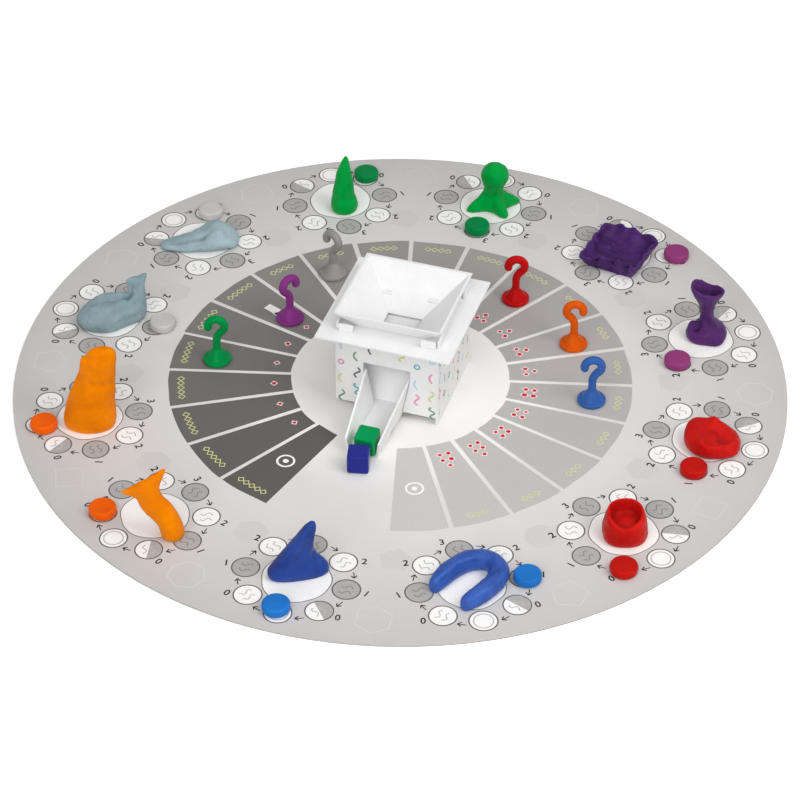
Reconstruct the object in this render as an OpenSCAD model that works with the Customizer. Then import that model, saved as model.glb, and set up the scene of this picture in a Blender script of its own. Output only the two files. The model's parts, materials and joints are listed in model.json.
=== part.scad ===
// Clay guessing board game laid out for play: round board, slotted card dice tower,
// dice, pawns, disc tokens and hand-kneaded clay figures. Millimetres.
// Origin: middle of the board's underside. The tower's chute points to -Y.

/* [Board] */
// Diameter of the round board
board_d = 580; // [540:5:640]
// Thickness of the grey board core
core_t = 1.5; // [1:0.25:3]
// Thickness of each glued paper sheet
sheet_t = 0.25; // [0.2:0.05:0.5]
// From the board's rim to the middle of a clay place
place_inset = 54.7; // [50:0.1:60]
// Radius of the ring of round spots about each clay place
spot_ring_r = 37; // [36:0.5:42]
// Middle radius of the track on which the pawns stand
track_r = 128; // [120:1:140]

/* [Dice tower box] */
// Width and depth of the square box
box_w = 79; // [76:1:88]
// Height of the box up to the underside of the top plate
box_h = 68.5; // [64:0.5:80]
// Thickness of the tower's card
card_t = 1.5; // [1:0.1:2]
// Width of the square top plate
plate_w = 103; // [96:1:120]
// Height of the panels' tabs over the top plate
tab_rise = 6; // [3:0.5:9]
// Length of the panels' tabs
tab_l = 11; // [6:0.5:14]
// Height of the front and back panels' lower edges over the board
panel_lift = 6; // [5.5:0.1:8]
// Lower end of the finger joints at the box corners
finger_z = 50; // [46:1:54]
// Length of the finger joints
finger_l = 12; // [8:1:16]

/* [Hopper] */
// Width of the hopper's mouth
rim_w = 78; // [70:1:90]
// Depth of the hopper's mouth
rim_d = 74; // [68:1:90]
// Height of the mouth over the top plate
rim_rise = 14.4; // [10:0.2:20]
// Width of the drop hole
hole_w = 26.4; // [22:0.2:30]
// Depth of the drop hole
hole_d = 26; // [22:0.5:30]
// How far the drop hole lies in front of the box's middle
hole_y = 8.5; // [4:0.5:10]
// How far the hopper reaches below the top plate
hole_drop = 10; // [6:0.5:12]

/* [Chute] */
// Length of the chute in front of the box
chute_l = 49; // [45:0.5:52]
// Outer width of the chute at its floor
chute_w = 24; // [22:0.5:28]
// Outer width of the chute walls' upper edge at the doorway
chute_top_w = 35.6; // [32:0.2:40]
// Outer width of the chute walls' upper edge at the free end
chute_end_w = 26.6; // [24:0.2:32]
// Height of the chute walls at the doorway
chute_h = 31; // [26:0.5:34]
// Height of the chute walls at the free end
chute_end_h = 11; // [8:0.5:16]
// Sideways drift of the chute's free end
chute_drift = 2.6; // [0:0.2:3]
// Slope of the chute floor in degrees
chute_slope = 4.6; // [4:0.1:5]
// Height of the doorway's top over the board
door_h = 45; // [42:0.5:47]

/* [Dice] */
// Edge of a die
die_w = 16; // [14:0.5:16.5]
// Edge rounding of a die
die_round = 2; // [1:0.25:3]

/* [Tokens] */
// Diameter of a token
token_d = 20; // [18:0.5:21]
// Height of a token
token_h = 7; // [5:0.5:9]
// Edge rounding of a token
token_round = 2; // [1:0.25:2.25]

/* [Pawns] */
// Height of a pawn
pawn_h = 42; // [38:0.5:48]
// Diameter of a pawn's foot
pawn_d = 21.4; // [20:0.2:24]
// Thickness of the bent rod
pawn_rod = 6.4; // [5:0.2:7]
// Radius of the hook's middle line
pawn_hook_r = 6.3; // [5:0.1:7]
// Height of the foot disc
pawn_foot = 3.6; // [3:0.2:5]

/* [Clay figures] */
// Width of the cone
cone_w = 21; // [17:0.5:26]
// Height of the cone
cone_h = 52.5; // [40:0.5:60]
// Width over the tripod's feet
tripod_w = 46; // [38:1:50]
// Height of the tripod
tripod_h = 41.5; // [34:0.5:50]
// Side of the square dish
dish_w = 50; // [42:1:52]
// Height of the dish
dish_h = 12; // [9:0.5:16]
// Width of the goblet's foot
goblet_w = 32; // [26:1:36]
// Height of the goblet
goblet_h = 50; // [42:1:58]
// Width of the red lump
lump_w = 42; // [36:1:44]
// Height of the red lump
lump_h = 18.5; // [15:0.5:24]
// Width of the pot
pot_w = 32.4; // [28:0.2:38]
// Height of the pot
pot_h = 21; // [17:0.5:26]
// Thickness of the horseshoe's roll
shoe_w = 14.6; // [12:0.2:15.4]
// Depth of the horseshoe's bend
shoe_l = 50; // [46:1:52]
// Length of the fin
fin_w = 43; // [36:1:46]
// Height of the fin
fin_h = 49; // [40:1:56]
// Width of the tail's fluke
tail_w = 34; // [28:1:36]
// Height of the tail
tail_h = 57; // [48:1:64]
// Width of the peak's foot
peak_w = 38; // [32:1:39]
// Height of the peak
peak_h = 71; // [58:1:80]
// Length of the grey lump
body_w = 54; // [46:1:56]
// Height of the grey lump's back
body_h = 21; // [17:0.5:25]
// Length of the drop
drop_w = 62; // [52:1:66]
// Height of the drop
drop_h = 17.2; // [14:0.2:22]

/* [Hidden] */
$fn = 48;
rest_gap = 0.05;
board_t = core_t + 2 * sheet_t;
place_r = board_d / 2 - place_inset;
view_turn = 17.8;
tower_x = 4;
tower_y = -6;
half_box = box_w / 2;
half_in = half_box - card_t;
plate_top = box_h + card_t;
rim_z = plate_top + rim_rise;
hole_z = plate_top - hole_drop;
door_gap = 0.3;
door_low = chute_w / 2 + door_gap;
door_wide = chute_top_w / 2 + door_gap;
// top of the chute floor at the front of the box
floor_z = card_t + 0.1 + chute_l * sin(chute_slope);
// how far the chute floor and walls reach into the box
floor_in = 8.5;
wall_in = 3;
tab_end = half_in - 1;
green_c = [0.02, 0.55, 0.25];
purple_c = [0.35, 0.15, 0.47];
red_c = [0.78, 0.08, 0.06];
blue_c = [0.18, 0.33, 0.69];
orange_c = [0.93, 0.45, 0.03];
grey_c = [0.51, 0.58, 0.6];
card_c = [0.94, 0.94, 0.93];

// Board: a core between a printed sheet and a plain sheet
module board_core() {
    color([0.72, 0.71, 0.7])
        translate([0, 0, sheet_t])
            cylinder(d = board_d, h = core_t);
}

module board_top_sheet() {
    color([0.82, 0.81, 0.8])
        translate([0, 0, sheet_t + core_t])
            cylinder(d = board_d, h = sheet_t);
}

module board_back_sheet() {
    color([0.35, 0.35, 0.36])
        cylinder(d = board_d, h = sheet_t);
}

// Tower frame: origin on the board under the box's middle
module in_tower() {
    translate([tower_x, tower_y, board_t + rest_gap])
        children();
}

// Frame of the sloping chute floor: origin at its top face in the doorway
module on_floor() {
    translate([0, -half_box, floor_z])
        rotate([chute_slope, 0, 0])
            children();
}

// Chute drift at a distance y along the floor
function drift(y) = chute_drift * min(y, 0) / chute_l;

module floor_tongue() {
    e = chute_w / 2;
    polygon([[-e, floor_in], [-e, 0], [-e - chute_drift, -chute_l], [e - chute_drift, -chute_l],
        [e, 0], [e, floor_in]]);
}

module floor_tabs() {
    translate([-half_box, 4, -card_t])
        cube([box_w, 3.5, card_t]);
}

// Footprint of the tab under a chute wall, s is -1 left and 1 right
module wall_tab(s) {
    e = s * chute_w / 2;
    i = e - s * card_t;
    polygon([[e + drift(-14), -14], [e + drift(-30), -30], [i + drift(-30), -30], [i + drift(-14), -14]]);
}

// Middle of the ramp's lower edge, its slope and its length
ramp_y = floor_in - half_box;
ramp_z = floor_z + floor_in * tan(chute_slope);
ramp_end = hole_d / 2 - hole_y + 2;
ramp_top = hole_z - 3;
ramp_a = atan2(ramp_top - ramp_z, ramp_end - ramp_y);
ramp_l = (ramp_end - ramp_y) / cos(ramp_a);

module on_ramp() {
    translate([0, ramp_y, ramp_z])
        rotate([ramp_a, 0, 0])
            children();
}

module ramp_tabs() {
    translate([-half_box, ramp_l / 2 - 12, 0])
        cube([box_w, 24, card_t]);
}

module drop_ramp() {
    color(card_c)
        in_tower()
            on_ramp() {
                translate([-half_in, 0, 0])
                    cube([2 * half_in, ramp_l, card_t]);
                ramp_tabs();
            }
}

// Outline of a side panel in its own plane; foot is the set-back of its front foot
module side_outline(foot) {
    difference() {
        union() {
            polygon([[-half_box + foot, 0], [half_box, 0], [half_box, box_h], [-half_box, box_h],
                [-half_box, foot > 0 ? panel_lift : 0]]);
            for (s = [-1, 1])
                translate([s > 0 ? tab_end - tab_l : -tab_end, box_h - 1])
                    square([tab_l, card_t + tab_rise + 1]);
        }
        for (y = [-half_box, half_in])
            translate([y, finger_z])
                square([card_t, finger_l]);
    }
}

module side_panel(x, foot) {
    color(card_c)
        in_tower()
            difference() {
                translate([x, 0, 0])
                    rotate([90, 0, 90])
                        linear_extrude(card_t)
                            side_outline(foot);
                on_ramp()
                    ramp_tabs();
                on_floor()
                    floor_tabs();
            }
}

module tower_left_panel() {
    side_panel(-half_box, 10);
}

module tower_right_panel() {
    side_panel(half_in, 0);
}

// Outline of a front or back panel in its own plane
module end_outline() {
    translate([-half_in, panel_lift])
        square([2 * half_in, box_h - panel_lift]);
    translate([-half_box, finger_z])
        square([box_w, finger_l]);
    for (s = [-1, 1])
        translate([s > 0 ? tab_end - tab_l : -tab_end, box_h - 1])
            square([tab_l, card_t + tab_rise + 1]);
}

module doorway() {
    polygon([[-door_low, panel_lift - 1], [door_low, panel_lift - 1], [door_low, panel_lift],
        [door_wide, floor_z + chute_h], [door_wide, door_h], [-door_wide, door_h],
        [-door_wide, floor_z + chute_h], [-door_low, panel_lift]]);
}

module tower_front_panel() {
    color(card_c)
        in_tower()
            translate([0, -half_in, 0])
                rotate([90, 0, 0])
                    linear_extrude(card_t)
                        difference() {
                            end_outline();
                            doorway();
                        }
}

module tower_back_panel() {
    color(card_c)
        in_tower()
            translate([0, half_box, 0])
                rotate([90, 0, 0])
                    linear_extrude(card_t)
                        end_outline();
}

// Hopper corners, counter-clockwise from the back right: mouth, hole, and the card's outside offset
hole_front = -hole_y - hole_d / 2;
hole_back = -hole_y + hole_d / 2;
hop_h = rim_z - hole_z;
side_s = (rim_w - hole_w) / 2 / hop_h;
back_s = (rim_d / 2 - hole_back) / hop_h;
front_s = (rim_d / 2 + hole_front) / hop_h;
side_o = card_t * sqrt(1 + side_s * side_s);
back_o = card_t * sqrt(1 + back_s * back_s);
front_o = card_t * sqrt(1 + front_s * front_s);
rim_pts = [[rim_w / 2, rim_d / 2, rim_z], [-rim_w / 2, rim_d / 2, rim_z],
    [-rim_w / 2, -rim_d / 2, rim_z], [rim_w / 2, -rim_d / 2, rim_z]];
hole_pts = [[hole_w / 2, hole_back, hole_z], [-hole_w / 2, hole_back, hole_z],
    [-hole_w / 2, hole_front, hole_z], [hole_w / 2, hole_front, hole_z]];
out_pts = [[side_o, back_o, 0], [-side_o, back_o, 0], [-side_o, -front_o, 0], [side_o, -front_o, 0]];

// A plate between an inner and an outer four-cornered face
module slab(inner, outer, flat) {
    quads = [[0, 1, 2, 3], [7, 6, 5, 4], [0, 4, 5, 1], [1, 5, 6, 2], [2, 6, 7, 3], [3, 7, 4, 0]];
    halves = [for (q = quads) for (h = [0, 1]) [q[0], q[1 + h], q[2 + h]]];
    polyhedron(concat(inner, outer), flat ? quads : halves);
}

// Where the top plate's lock tabs pass through the hopper's front and back walls
lock_in = hole_w / 2 + 0.8;
lock_w = 7;

module hopper_wall(i) {
    j = (i + 1) % 4;
    inner = [rim_pts[j], rim_pts[i], hole_pts[i], hole_pts[j]];
    shift = [out_pts[j], out_pts[i], out_pts[i], out_pts[j]];
    color(card_c)
        in_tower()
            difference() {
                slab(inner, inner + shift, true);
                for (s = [-1, 1])
                    translate([s > 0 ? lock_in : -lock_in - lock_w, -half_in, box_h])
                        cube([lock_w, 2 * half_in, card_t]);
            }
}

module hopper_back_wall() {
    hopper_wall(0);
}

module hopper_left_wall() {
    hopper_wall(1);
}

module hopper_front_wall() {
    hopper_wall(2);
}

module hopper_right_wall() {
    hopper_wall(3);
}

// Hole in the top plate, as wide as the hopper is at the plate's top
well_x = hole_w / 2 + side_s * hole_drop + side_o;
well_front = hole_front - front_s * hole_drop - front_o;
well_back = hole_back + back_s * hole_drop + back_o;
lock_front = hole_front - front_s * (hole_drop - card_t) + 0.4;
lock_back = hole_back + back_s * (hole_drop - card_t) - 0.4;

module plate_well() {
    difference() {
        translate([-well_x, well_front])
            square([2 * well_x, well_back - well_front]);
        for (s = [-1, 1])
            translate([s > 0 ? lock_in : -lock_in - lock_w, 0]) {
                translate([0, well_front - 1])
                    square([lock_w, lock_front - well_front + 1]);
                translate([0, lock_back])
                    square([lock_w, well_back - lock_back + 1]);
            }
    }
}

module plate_slots() {
    for (s = [-1, 1])
        for (y = [-half_box, half_in]) {
            translate([s > 0 ? tab_end - tab_l : -tab_end, y])
                square([tab_l, card_t]);
            translate([y, s > 0 ? tab_end - tab_l : -tab_end])
                square([card_t, tab_l]);
        }
}

module tower_top_plate() {
    color(card_c)
        in_tower()
            translate([0, 0, box_h])
                linear_extrude(card_t)
                    difference() {
                        square(plate_w, center = true);
                        plate_well();
                        plate_slots();
                    }
}

module chute_floor() {
    color(card_c)
        in_tower()
            on_floor() {
                translate([0, 0, -card_t])
                    linear_extrude(card_t)
                        difference() {
                            union() {
                                floor_tongue();
                                translate([-half_in, card_t + 0.5])
                                    square([2 * half_in, floor_in - card_t - 0.5]);
                            }
                            wall_tab(-1);
                            wall_tab(1);
                        }
                floor_tabs();
            }
}

module chute_wall(s) {
    lean = tan(chute_slope);
    low = s * chute_w / 2;
    back_low = [low, wall_in, 0];
    back_top = [s * chute_top_w / 2, wall_in + chute_h * lean, chute_h];
    end_low = [low - chute_drift, -chute_l, 0];
    end_top = [s * chute_end_w / 2 - chute_drift, -chute_l, chute_end_h];
    right = [back_top, end_top, end_low, back_low];
    left = [end_top, back_top, back_low, end_low];
    outer = s > 0 ? right : left;
    inner = [for (p = outer) p - [s * card_t, 0, 0]];
    color(card_c)
        in_tower()
            on_floor() {
                slab(inner, outer, false);
                translate([0, 0, -card_t])
                    linear_extrude(card_t)
                        wall_tab(s);
            }
}

module chute_left_wall() {
    chute_wall(-1);
}

module chute_right_wall() {
    chute_wall(1);
}

// Dice: plain cubes with rounded edges, standing on their own origin
module die() {
    e = die_w / 2 - die_round;
    translate([0, 0, die_w / 2])
        hull()
            for (x = [-e, e])
                for (y = [-e, e])
                    for (z = [-e, e])
                        translate([x, y, z])
                            sphere(r = die_round, $fn = 24);
}

die_y = chute_l - die_w / 2 + 2.5;
green_die_x = chute_w / 2 - card_t - die_w / 2 - chute_drift - 0.3;

module green_die() {
    color(green_c)
        in_tower()
            on_floor()
                translate([green_die_x, -die_y, rest_gap])
                    die();
}

module blue_die() {
    color([0.16, 0.18, 0.55])
        translate([tower_x - 0.5, tower_y - half_box - die_y - die_w - 4, board_t + rest_gap])
            rotate([0, 0, 13])
                die();
}

// Pawn: a round foot, a cone and a bent rod in the plane of X and Z, hook tip on -X
hook_z = pawn_h - pawn_rod / 2 - pawn_hook_r;
bend_a = 50;
bend_r = pawn_hook_r * cos(bend_a) / (1 - cos(bend_a));
stem_top = hook_z - (pawn_hook_r + bend_r) * sin(bend_a);
foot_round = 1.4;
// the rod grows a little from stem to hook, so each length ends inside the next
rod_step = 0.1;
rod_bury = 0.5;
stem_r = pawn_rod / 2 - 2 * rod_step;

module pawn_foot_profile() {
    square([pawn_d / 2 - foot_round, pawn_foot]);
    translate([0, foot_round])
        square([pawn_d / 2, pawn_foot - 2 * foot_round]);
    for (y = [foot_round, pawn_foot - foot_round])
        translate([pawn_d / 2 - foot_round, y])
            circle(r = foot_round);
    polygon([[0, 1], [pawn_d * 0.39, 1], [pawn_d * 0.39, pawn_foot], [stem_r, pawn_foot + 8],
        [stem_r, stem_top + rod_bury], [0, stem_top + rod_bury]]);
}

module pawn_bend(x, z, bend, from, sweep, rod) {
    translate([x, z, 0])
        rotate([0, 0, from])
            rotate_extrude(angle = sweep)
                translate([bend, 0])
                    circle(r = rod);
}

module pawn() {
    bury_a = rod_bury / bend_r * 180 / PI;
    tip_a = 190;
    rotate_extrude()
        pawn_foot_profile();
    rotate([90, 0, 0]) {
        pawn_bend((pawn_hook_r + bend_r) * cos(bend_a), stem_top, bend_r, 180 - bend_a - bury_a,
            bend_a + bury_a, pawn_rod / 2 - rod_step);
        pawn_bend(0, hook_z, pawn_hook_r, -bend_a, tip_a + bend_a, pawn_rod / 2);
        translate([pawn_hook_r * cos(tip_a), hook_z + pawn_hook_r * sin(tip_a), 0])
            sphere(r = pawn_rod / 2 - rod_step);
    }
}

// Puts a pawn on the track: polar angle, shift from the track's middle radius, facing
module pawn_at(angle, shift, facing, c) {
    r = track_r + shift;
    color(c)
        translate([r * cos(angle), r * sin(angle), board_t + rest_gap])
            rotate([0, 0, view_turn + facing])
                pawn();
}

module green_pawn() {
    pawn_at(189.6, 12, 0, [0, 0.51, 0.24]);
}

module purple_pawn() {
    pawn_at(157.9, -17, 220, [0.49, 0.12, 0.49]);
}

module grey_pawn() {
    pawn_at(130.2, 12, -43, [0.45, 0.45, 0.44]);
}

module red_pawn() {
    pawn_at(65.3, 4, 0, red_c);
}

module orange_pawn() {
    pawn_at(34.9, 10, 180, [0.92, 0.37, 0.04]);
}

module blue_pawn() {
    pawn_at(6.9, 17, 0, blue_c);
}

// Token on spot n of place k, nudged outwards and turned a little off its spot
module token_at(k, n, nudge, off, c) {
    a = 120 - 30 * k;
    b = a + 45 * n + off;
    r = max(spot_ring_r + nudge, spot_ring_r - 4);
    color(c)
        translate([place_r * cos(a) + r * cos(b), place_r * sin(a) + r * sin(b), board_t + rest_gap])
            rotate_extrude()
                token_profile();
}

module token_profile() {
    square([token_d / 2 - token_round, token_h]);
    translate([0, token_round])
        square([token_d / 2, token_h - 2 * token_round]);
    for (y = [token_round, token_h - token_round])
        translate([token_d / 2 - token_round, y])
            circle(r = token_round);
}

module green_token_a() {
    token_at(0, 7, 2, 0, green_c);
}

module green_token_b() {
    token_at(1, 4, -1, 0, green_c);
}

module purple_token_a() {
    token_at(2, 7, 7, -3, [0.55, 0.24, 0.45]);
}

module purple_token_b() {
    token_at(3, 5, 1, 0, [0.55, 0.24, 0.45]);
}

module red_token_a() {
    token_at(4, 6, 1, 0, red_c);
}

module red_token_b() {
    token_at(5, 7, 4, 0, red_c);
}

module blue_token_a() {
    token_at(6, 2, 2.5, -4, [0.16, 0.45, 0.75]);
}

module blue_token_b() {
    token_at(7, 0, -3, -4, [0.16, 0.45, 0.75]);
}

module orange_token_a() {
    token_at(8, 7, 0, 0, [0.92, 0.37, 0.08]);
}

module orange_token_b() {
    token_at(9, 0, -3, 7, [0.92, 0.37, 0.08]);
}

module grey_token_a() {
    token_at(10, 4, 6, 3, [0.73, 0.73, 0.73]);
}

module grey_token_b() {
    token_at(11, 7, -2, -5, [0.73, 0.73, 0.73]);
}

// Clay: rings or sections blended through a few hand-set stations and skinned
function near(rows, i) = rows[max(0, min(len(rows) - 1, i))];
function mix(a, b, c, d, t) =
    b + (c - a) * t / 2 + (2 * a - 5 * b + 4 * c - d) * t * t / 2 + (3 * b - a - 3 * c + d) * t * t * t / 2;
function between(rows, i, t) = mix(near(rows, i - 1), rows[i], rows[i + 1], near(rows, i + 2), t);
function flow(rows, n) = concat(
    [for (i = [0 : len(rows) - 2]) for (j = [0 : n - 1]) between(rows, i, j / n)],
    [rows[len(rows) - 1]]);

module skin(rings) {
    n = len(rings[0]);
    m = len(rings);
    middle = [for (i = [1 : n]) 1 / n] * rings[m - 1];
    pts = concat([for (r = rings) for (p = r) p], [middle]);
    sides = [for (k = [0 : m - 2]) for (i = [0 : n - 1]) for (h = [0, 1])
        let(j = (i + 1) % n, low = k * n, up = low + n)
        h == 0 ? [low + i, up + i, up + j] : [low + i, up + j, low + j]];
    foot = [[for (i = [0 : n - 1]) i]];
    head = [for (i = [0 : n - 1]) [(m - 1) * n + (i + 1) % n, (m - 1) * n + i, m * n]];
    polyhedron(pts, concat(sides, foot, head));
}

// Station: height, middle x and y, half widths, turn, tilt, rim wave; as shares of w and h.
// Corners sharpens the ring from an ellipse (2) to a square with tight corners (10).
function ring(s, w, h, n, corners, waves) = [for (i = [0 : n - 1]) let(
        a = 360 * i / n,
        k = pow(pow(abs(cos(a)), corners) + pow(abs(sin(a)), corners), 1 / corners),
        pleat = (1 + s[7] / 4 * sin(waves * a)) / k,
        u = s[3] * cos(a) * pleat,
        v = s[4] * sin(a) * pleat)
    [w * (s[1] + u * cos(s[5]) - v * sin(s[5])),
     w * (s[2] + u * sin(s[5]) + v * cos(s[5])),
     max(0, h * s[0] + w * s[6] * u + h * s[7] * cos(waves * a))]];

// Pull of the fingers: where it takes hold, its reach and its move; as shares of w, w and h
function grip(p, k, w, h) = let(d = p - [k[0][0] * w, k[0][1] * w, k[0][2] * h])
    exp(-(d * d) / pow(k[1] * w, 2)) * [k[2][0] * w, k[2][1] * w, p[2] > 0 ? k[2][2] * h : 0];
function pulled(p, pulls, w, h, i = 0) =
    i == len(pulls) ? [0, 0, 0] : grip(p, pulls[i], w, h) + pulled(p, pulls, w, h, i + 1);
function lifted(p) = [p[0], p[1], max(0, p[2])];

module kneaded(rows, w, h, n, steps, corners = 2, waves = 2, pulls = []) {
    skin([for (s = flow(rows, steps))
        [for (p = ring(s, w, h, n, corners, waves)) lifted(p + pulled(p, pulls, w, h))]]);
}

// Roll of clay lying along a path; rows hold x, y, half width and height
function path_turn(rows, i) = let(d = near(rows, i + 1) - near(rows, i - 1)) atan2(d[1], d[0]);
function section(row, t, n) = [for (i = [0 : n - 1]) let(b = 360 * i / n)
    [row[0] - sin(t) * row[2] * cos(b), row[1] + cos(t) * row[2] * cos(b),
     max(0, row[3] * (0.45 + 0.55 * sin(b)))]];

module rolled(rows, n, steps) {
    way = flow(rows, steps);
    skin([for (i = [0 : len(way) - 1]) section(way[i], path_turn(way, i), n)]);
}

// Puts a figure on clay place k, offset as seen by the players in front of the chute
module on_place(k, x, y) {
    a = 120 - 30 * k;
    translate([place_r * cos(a), place_r * sin(a), board_t + rest_gap])
        rotate([0, 0, view_turn])
            translate([x, y, 0])
                children();
}

module green_cone() {
    color(green_c)
        on_place(0, 3.7, -11.9)
            kneaded([[0, 0, 0, 0.46, 0.44, 0, 0, 0], [0.05, 0, 0, 0.5, 0.49, 0, 0, 0],
                [0.12, 0, 0, 0.49, 0.49, 0, 0, 0], [0.27, -0.01, 0, 0.44, 0.43, 0, 0, 0],
                [0.46, -0.01, 0, 0.38, 0.36, 0, 0, 0], [0.64, 0, 0, 0.3, 0.29, 0, 0, 0],
                [0.8, 0.02, 0, 0.21, 0.21, 0, 0, 0], [0.93, 0.03, 0, 0.1, 0.1, 0, 0, 0],
                [1, 0.03, 0, 0.035, 0.035, 0, 0, 0]], cone_w, cone_h, 18, 2);
}

// Tripod: rings with three lobes; stations hold height, core, lobe reach and drift to the right
tripod_feet = [[199, 0.5], [17, 0.53], [303, 0.46]];
function bump(a, b) = let(d = abs(a - b), e = min(d, 360 - d)) exp(-pow(e / 19, 2));
function lobed(s, n) = [for (i = [0 : n - 1]) let(
        a = 360 * i / n,
        reach = [for (f = tripod_feet) s[2] * max(0, f[1] - s[1]) * bump(a, f[0])],
        r = s[1] + reach[0] + reach[1] + reach[2])
    [tripod_w * (s[3] + r * cos(a)), tripod_w * r * sin(a), tripod_h * s[0]]];

module green_tripod() {
    rows = [[0, 0.18, 0.92, 0], [0.05, 0.2, 1, 0], [0.12, 0.21, 0.8, 0], [0.21, 0.2, 0.46, 0],
        [0.31, 0.18, 0.18, 0], [0.4, 0.155, 0.03, 0], [0.48, 0.145, 0, 0.01], [0.57, 0.18, 0, 0.02],
        [0.68, 0.235, 0, 0.03], [0.79, 0.245, 0, 0.03], [0.9, 0.2, 0, 0.03], [0.97, 0.11, 0, 0.03],
        [1, 0.03, 0, 0.03]];
    color(green_c)
        on_place(1, 2, -2)
            skin([for (s = flow(rows, 2)) lobed(s, 36)]);
}

// Square dish with a pleated rim; its corners are pulled out and up or down
module purple_dish() {
    t = -27;
    c = 0.66;
    color(purple_c)
        on_place(2, -1.8, -5.4)
            kneaded([[0, 0, 0, 0.405, 0.405, t, 0, 0], [0.35, 0, 0, 0.445, 0.445, t, 0, 0.04],
                [0.8, 0, 0, 0.485, 0.485, t, 0, 0.07], [1, 0, 0, 0.48, 0.48, t, 0, 0.1],
                [0.98, 0, 0, 0.445, 0.445, t, 0, 0.1], [0.62, 0, 0, 0.4, 0.4, t, 0, 0.05],
                [0.4, 0, 0, 0.33, 0.33, t, 0, 0], [0.34, 0, 0, 0.13, 0.13, t, 0, 0]],
                dish_w, dish_h, 64, 1, 10, 13, [
                [[c * cos(18), c * sin(18), 0.9], 0.12, [0.03, 0.01, 0.05]],
                [[c * cos(104), c * sin(104), 0.9], 0.16, [0.02, 0, 0.1]],
                [[0.2, 0.45, 0.9], 0.25, [0.01, 0.03, 0.22]],
                [[c * cos(197), c * sin(197), 0.8], 0.14, [-0.045, -0.01, -0.2]],
                [[c * cos(285), c * sin(285), 0.8], 0.13, [0.005, -0.01, -0.35]]]);
}

// Goblet: tilted cup on a foot pulled out to the front right and dented on the left
module purple_goblet() {
    t = 10;
    color(purple_c)
        on_place(3, 4, 4.7)
            kneaded([[0, 0, 0, 0.48, 0.43, t, 0, 0], [0.06, 0, 0, 0.505, 0.455, t, 0, 0],
                [0.15, 0, 0, 0.44, 0.4, t, 0, 0], [0.24, -0.01, 0, 0.29, 0.28, t, 0, 0],
                [0.34, -0.02, 0, 0.19, 0.19, t, 0, 0], [0.46, -0.02, 0, 0.165, 0.17, t, 0, 0],
                [0.58, -0.03, 0, 0.2, 0.19, t, 0, 0], [0.7, -0.04, 0, 0.3, 0.25, t, -0.04, 0.01],
                [0.82, -0.055, 0, 0.39, 0.31, t, -0.13, 0.01], [0.885, -0.055, 0, 0.4, 0.32, t, -0.2, 0.01],
                [0.875, -0.055, 0, 0.35, 0.27, t, -0.2, 0.01], [0.78, -0.05, 0, 0.26, 0.2, t, -0.1, 0.01],
                [0.71, -0.05, 0, 0.17, 0.14, t, 0, 0], [0.69, -0.05, 0, 0.06, 0.05, t, 0, 0]],
                goblet_w, goblet_h, 28, 1, 2, 2, [
                [[0.3, -0.4, 0.06], 0.24, [0.02, -0.14, 0]],
                [[-0.38, 0.16, 0.24], 0.2, [0.17, -0.02, -0.08]],
                [[-0.3, -0.35, 0.05], 0.2, [-0.02, -0.03, 0]],
                [[-0.22, 0.25, 0.95], 0.17, [0, 0.02, 0.045]]]);
}

// Low lump with a nub at the back and a scoop pressed into its top
module red_lump() {
    color(red_c)
        on_place(4, 4.2, -6.2)
            kneaded([[0, 0, 0, 0.42, 0.38, 0, 0, 0], [0.18, 0, 0, 0.49, 0.44, 0, 0, 0],
                [0.4, -0.02, 0, 0.48, 0.44, 0, 0, 0], [0.58, -0.05, 0.01, 0.43, 0.4, 0, 0, 0],
                [0.71, -0.08, 0.03, 0.36, 0.33, 0, 0, 0], [0.79, -0.09, 0.05, 0.26, 0.24, 0, 0, 0],
                [0.81, -0.09, 0.06, 0.12, 0.1, 0, 0, 0]],
                lump_w, lump_h, 28, 2, 2, 2, [
                [[0.04, 0.24, 0.8], 0.095, [0, 0.03, 0.24]],
                [[0.16, -0.1, 0.7], 0.2, [0, 0, -0.25]],
                [[0.36, -0.3, 0.2], 0.2, [0.04, -0.04, 0]]]);
}

module red_pot() {
    t = 90;
    color(red_c)
        on_place(5, 0.7, -2.1)
            kneaded([[0, 0, 0, 0.46, 0.47, t, 0, 0], [0.14, 0, 0, 0.49, 0.5, t, 0, 0],
                [0.45, 0, 0, 0.475, 0.485, t, 0, 0], [0.75, 0, 0, 0.44, 0.445, t, 0.1, 0],
                [0.95, 0, 0, 0.4, 0.405, t, 0.2, 0], [1, 0, 0, 0.365, 0.37, t, 0.22, 0],
                [0.94, 0, 0, 0.335, 0.335, t, 0.2, 0], [0.62, 0, 0, 0.29, 0.29, t, 0.1, 0],
                [0.45, 0, 0, 0.22, 0.22, t, 0, 0], [0.42, 0, 0, 0.08, 0.08, t, 0, 0]],
                pot_w, pot_h, 30, 1, 2.5);
}

module blue_horseshoe() {
    q = shoe_l;
    e = shoe_w / 2;
    h = shoe_w * 0.92;
    color(blue_c)
        on_place(6, 0, 0)
            rolled([[-0.54 * q, -0.17 * q, e * 0.3, h * 0.4], [-0.505 * q, -0.12 * q, e * 0.74, h * 0.8],
                [-0.315 * q, 0.14 * q, e, h], [-0.035 * q, 0.365 * q, e * 1.05, h],
                [0.24 * q, 0.375 * q, e * 1.05, h], [0.385 * q, 0.18 * q, e, h], [0.32 * q, -0.06 * q, e, h],
                [0.115 * q, -0.31 * q, e * 0.95, h * 0.95], [-0.085 * q, -0.48 * q, e * 0.75, h * 0.8],
                [-0.13 * q, -0.522 * q, e * 0.3, h * 0.4]], 14, 3);
}

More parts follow.
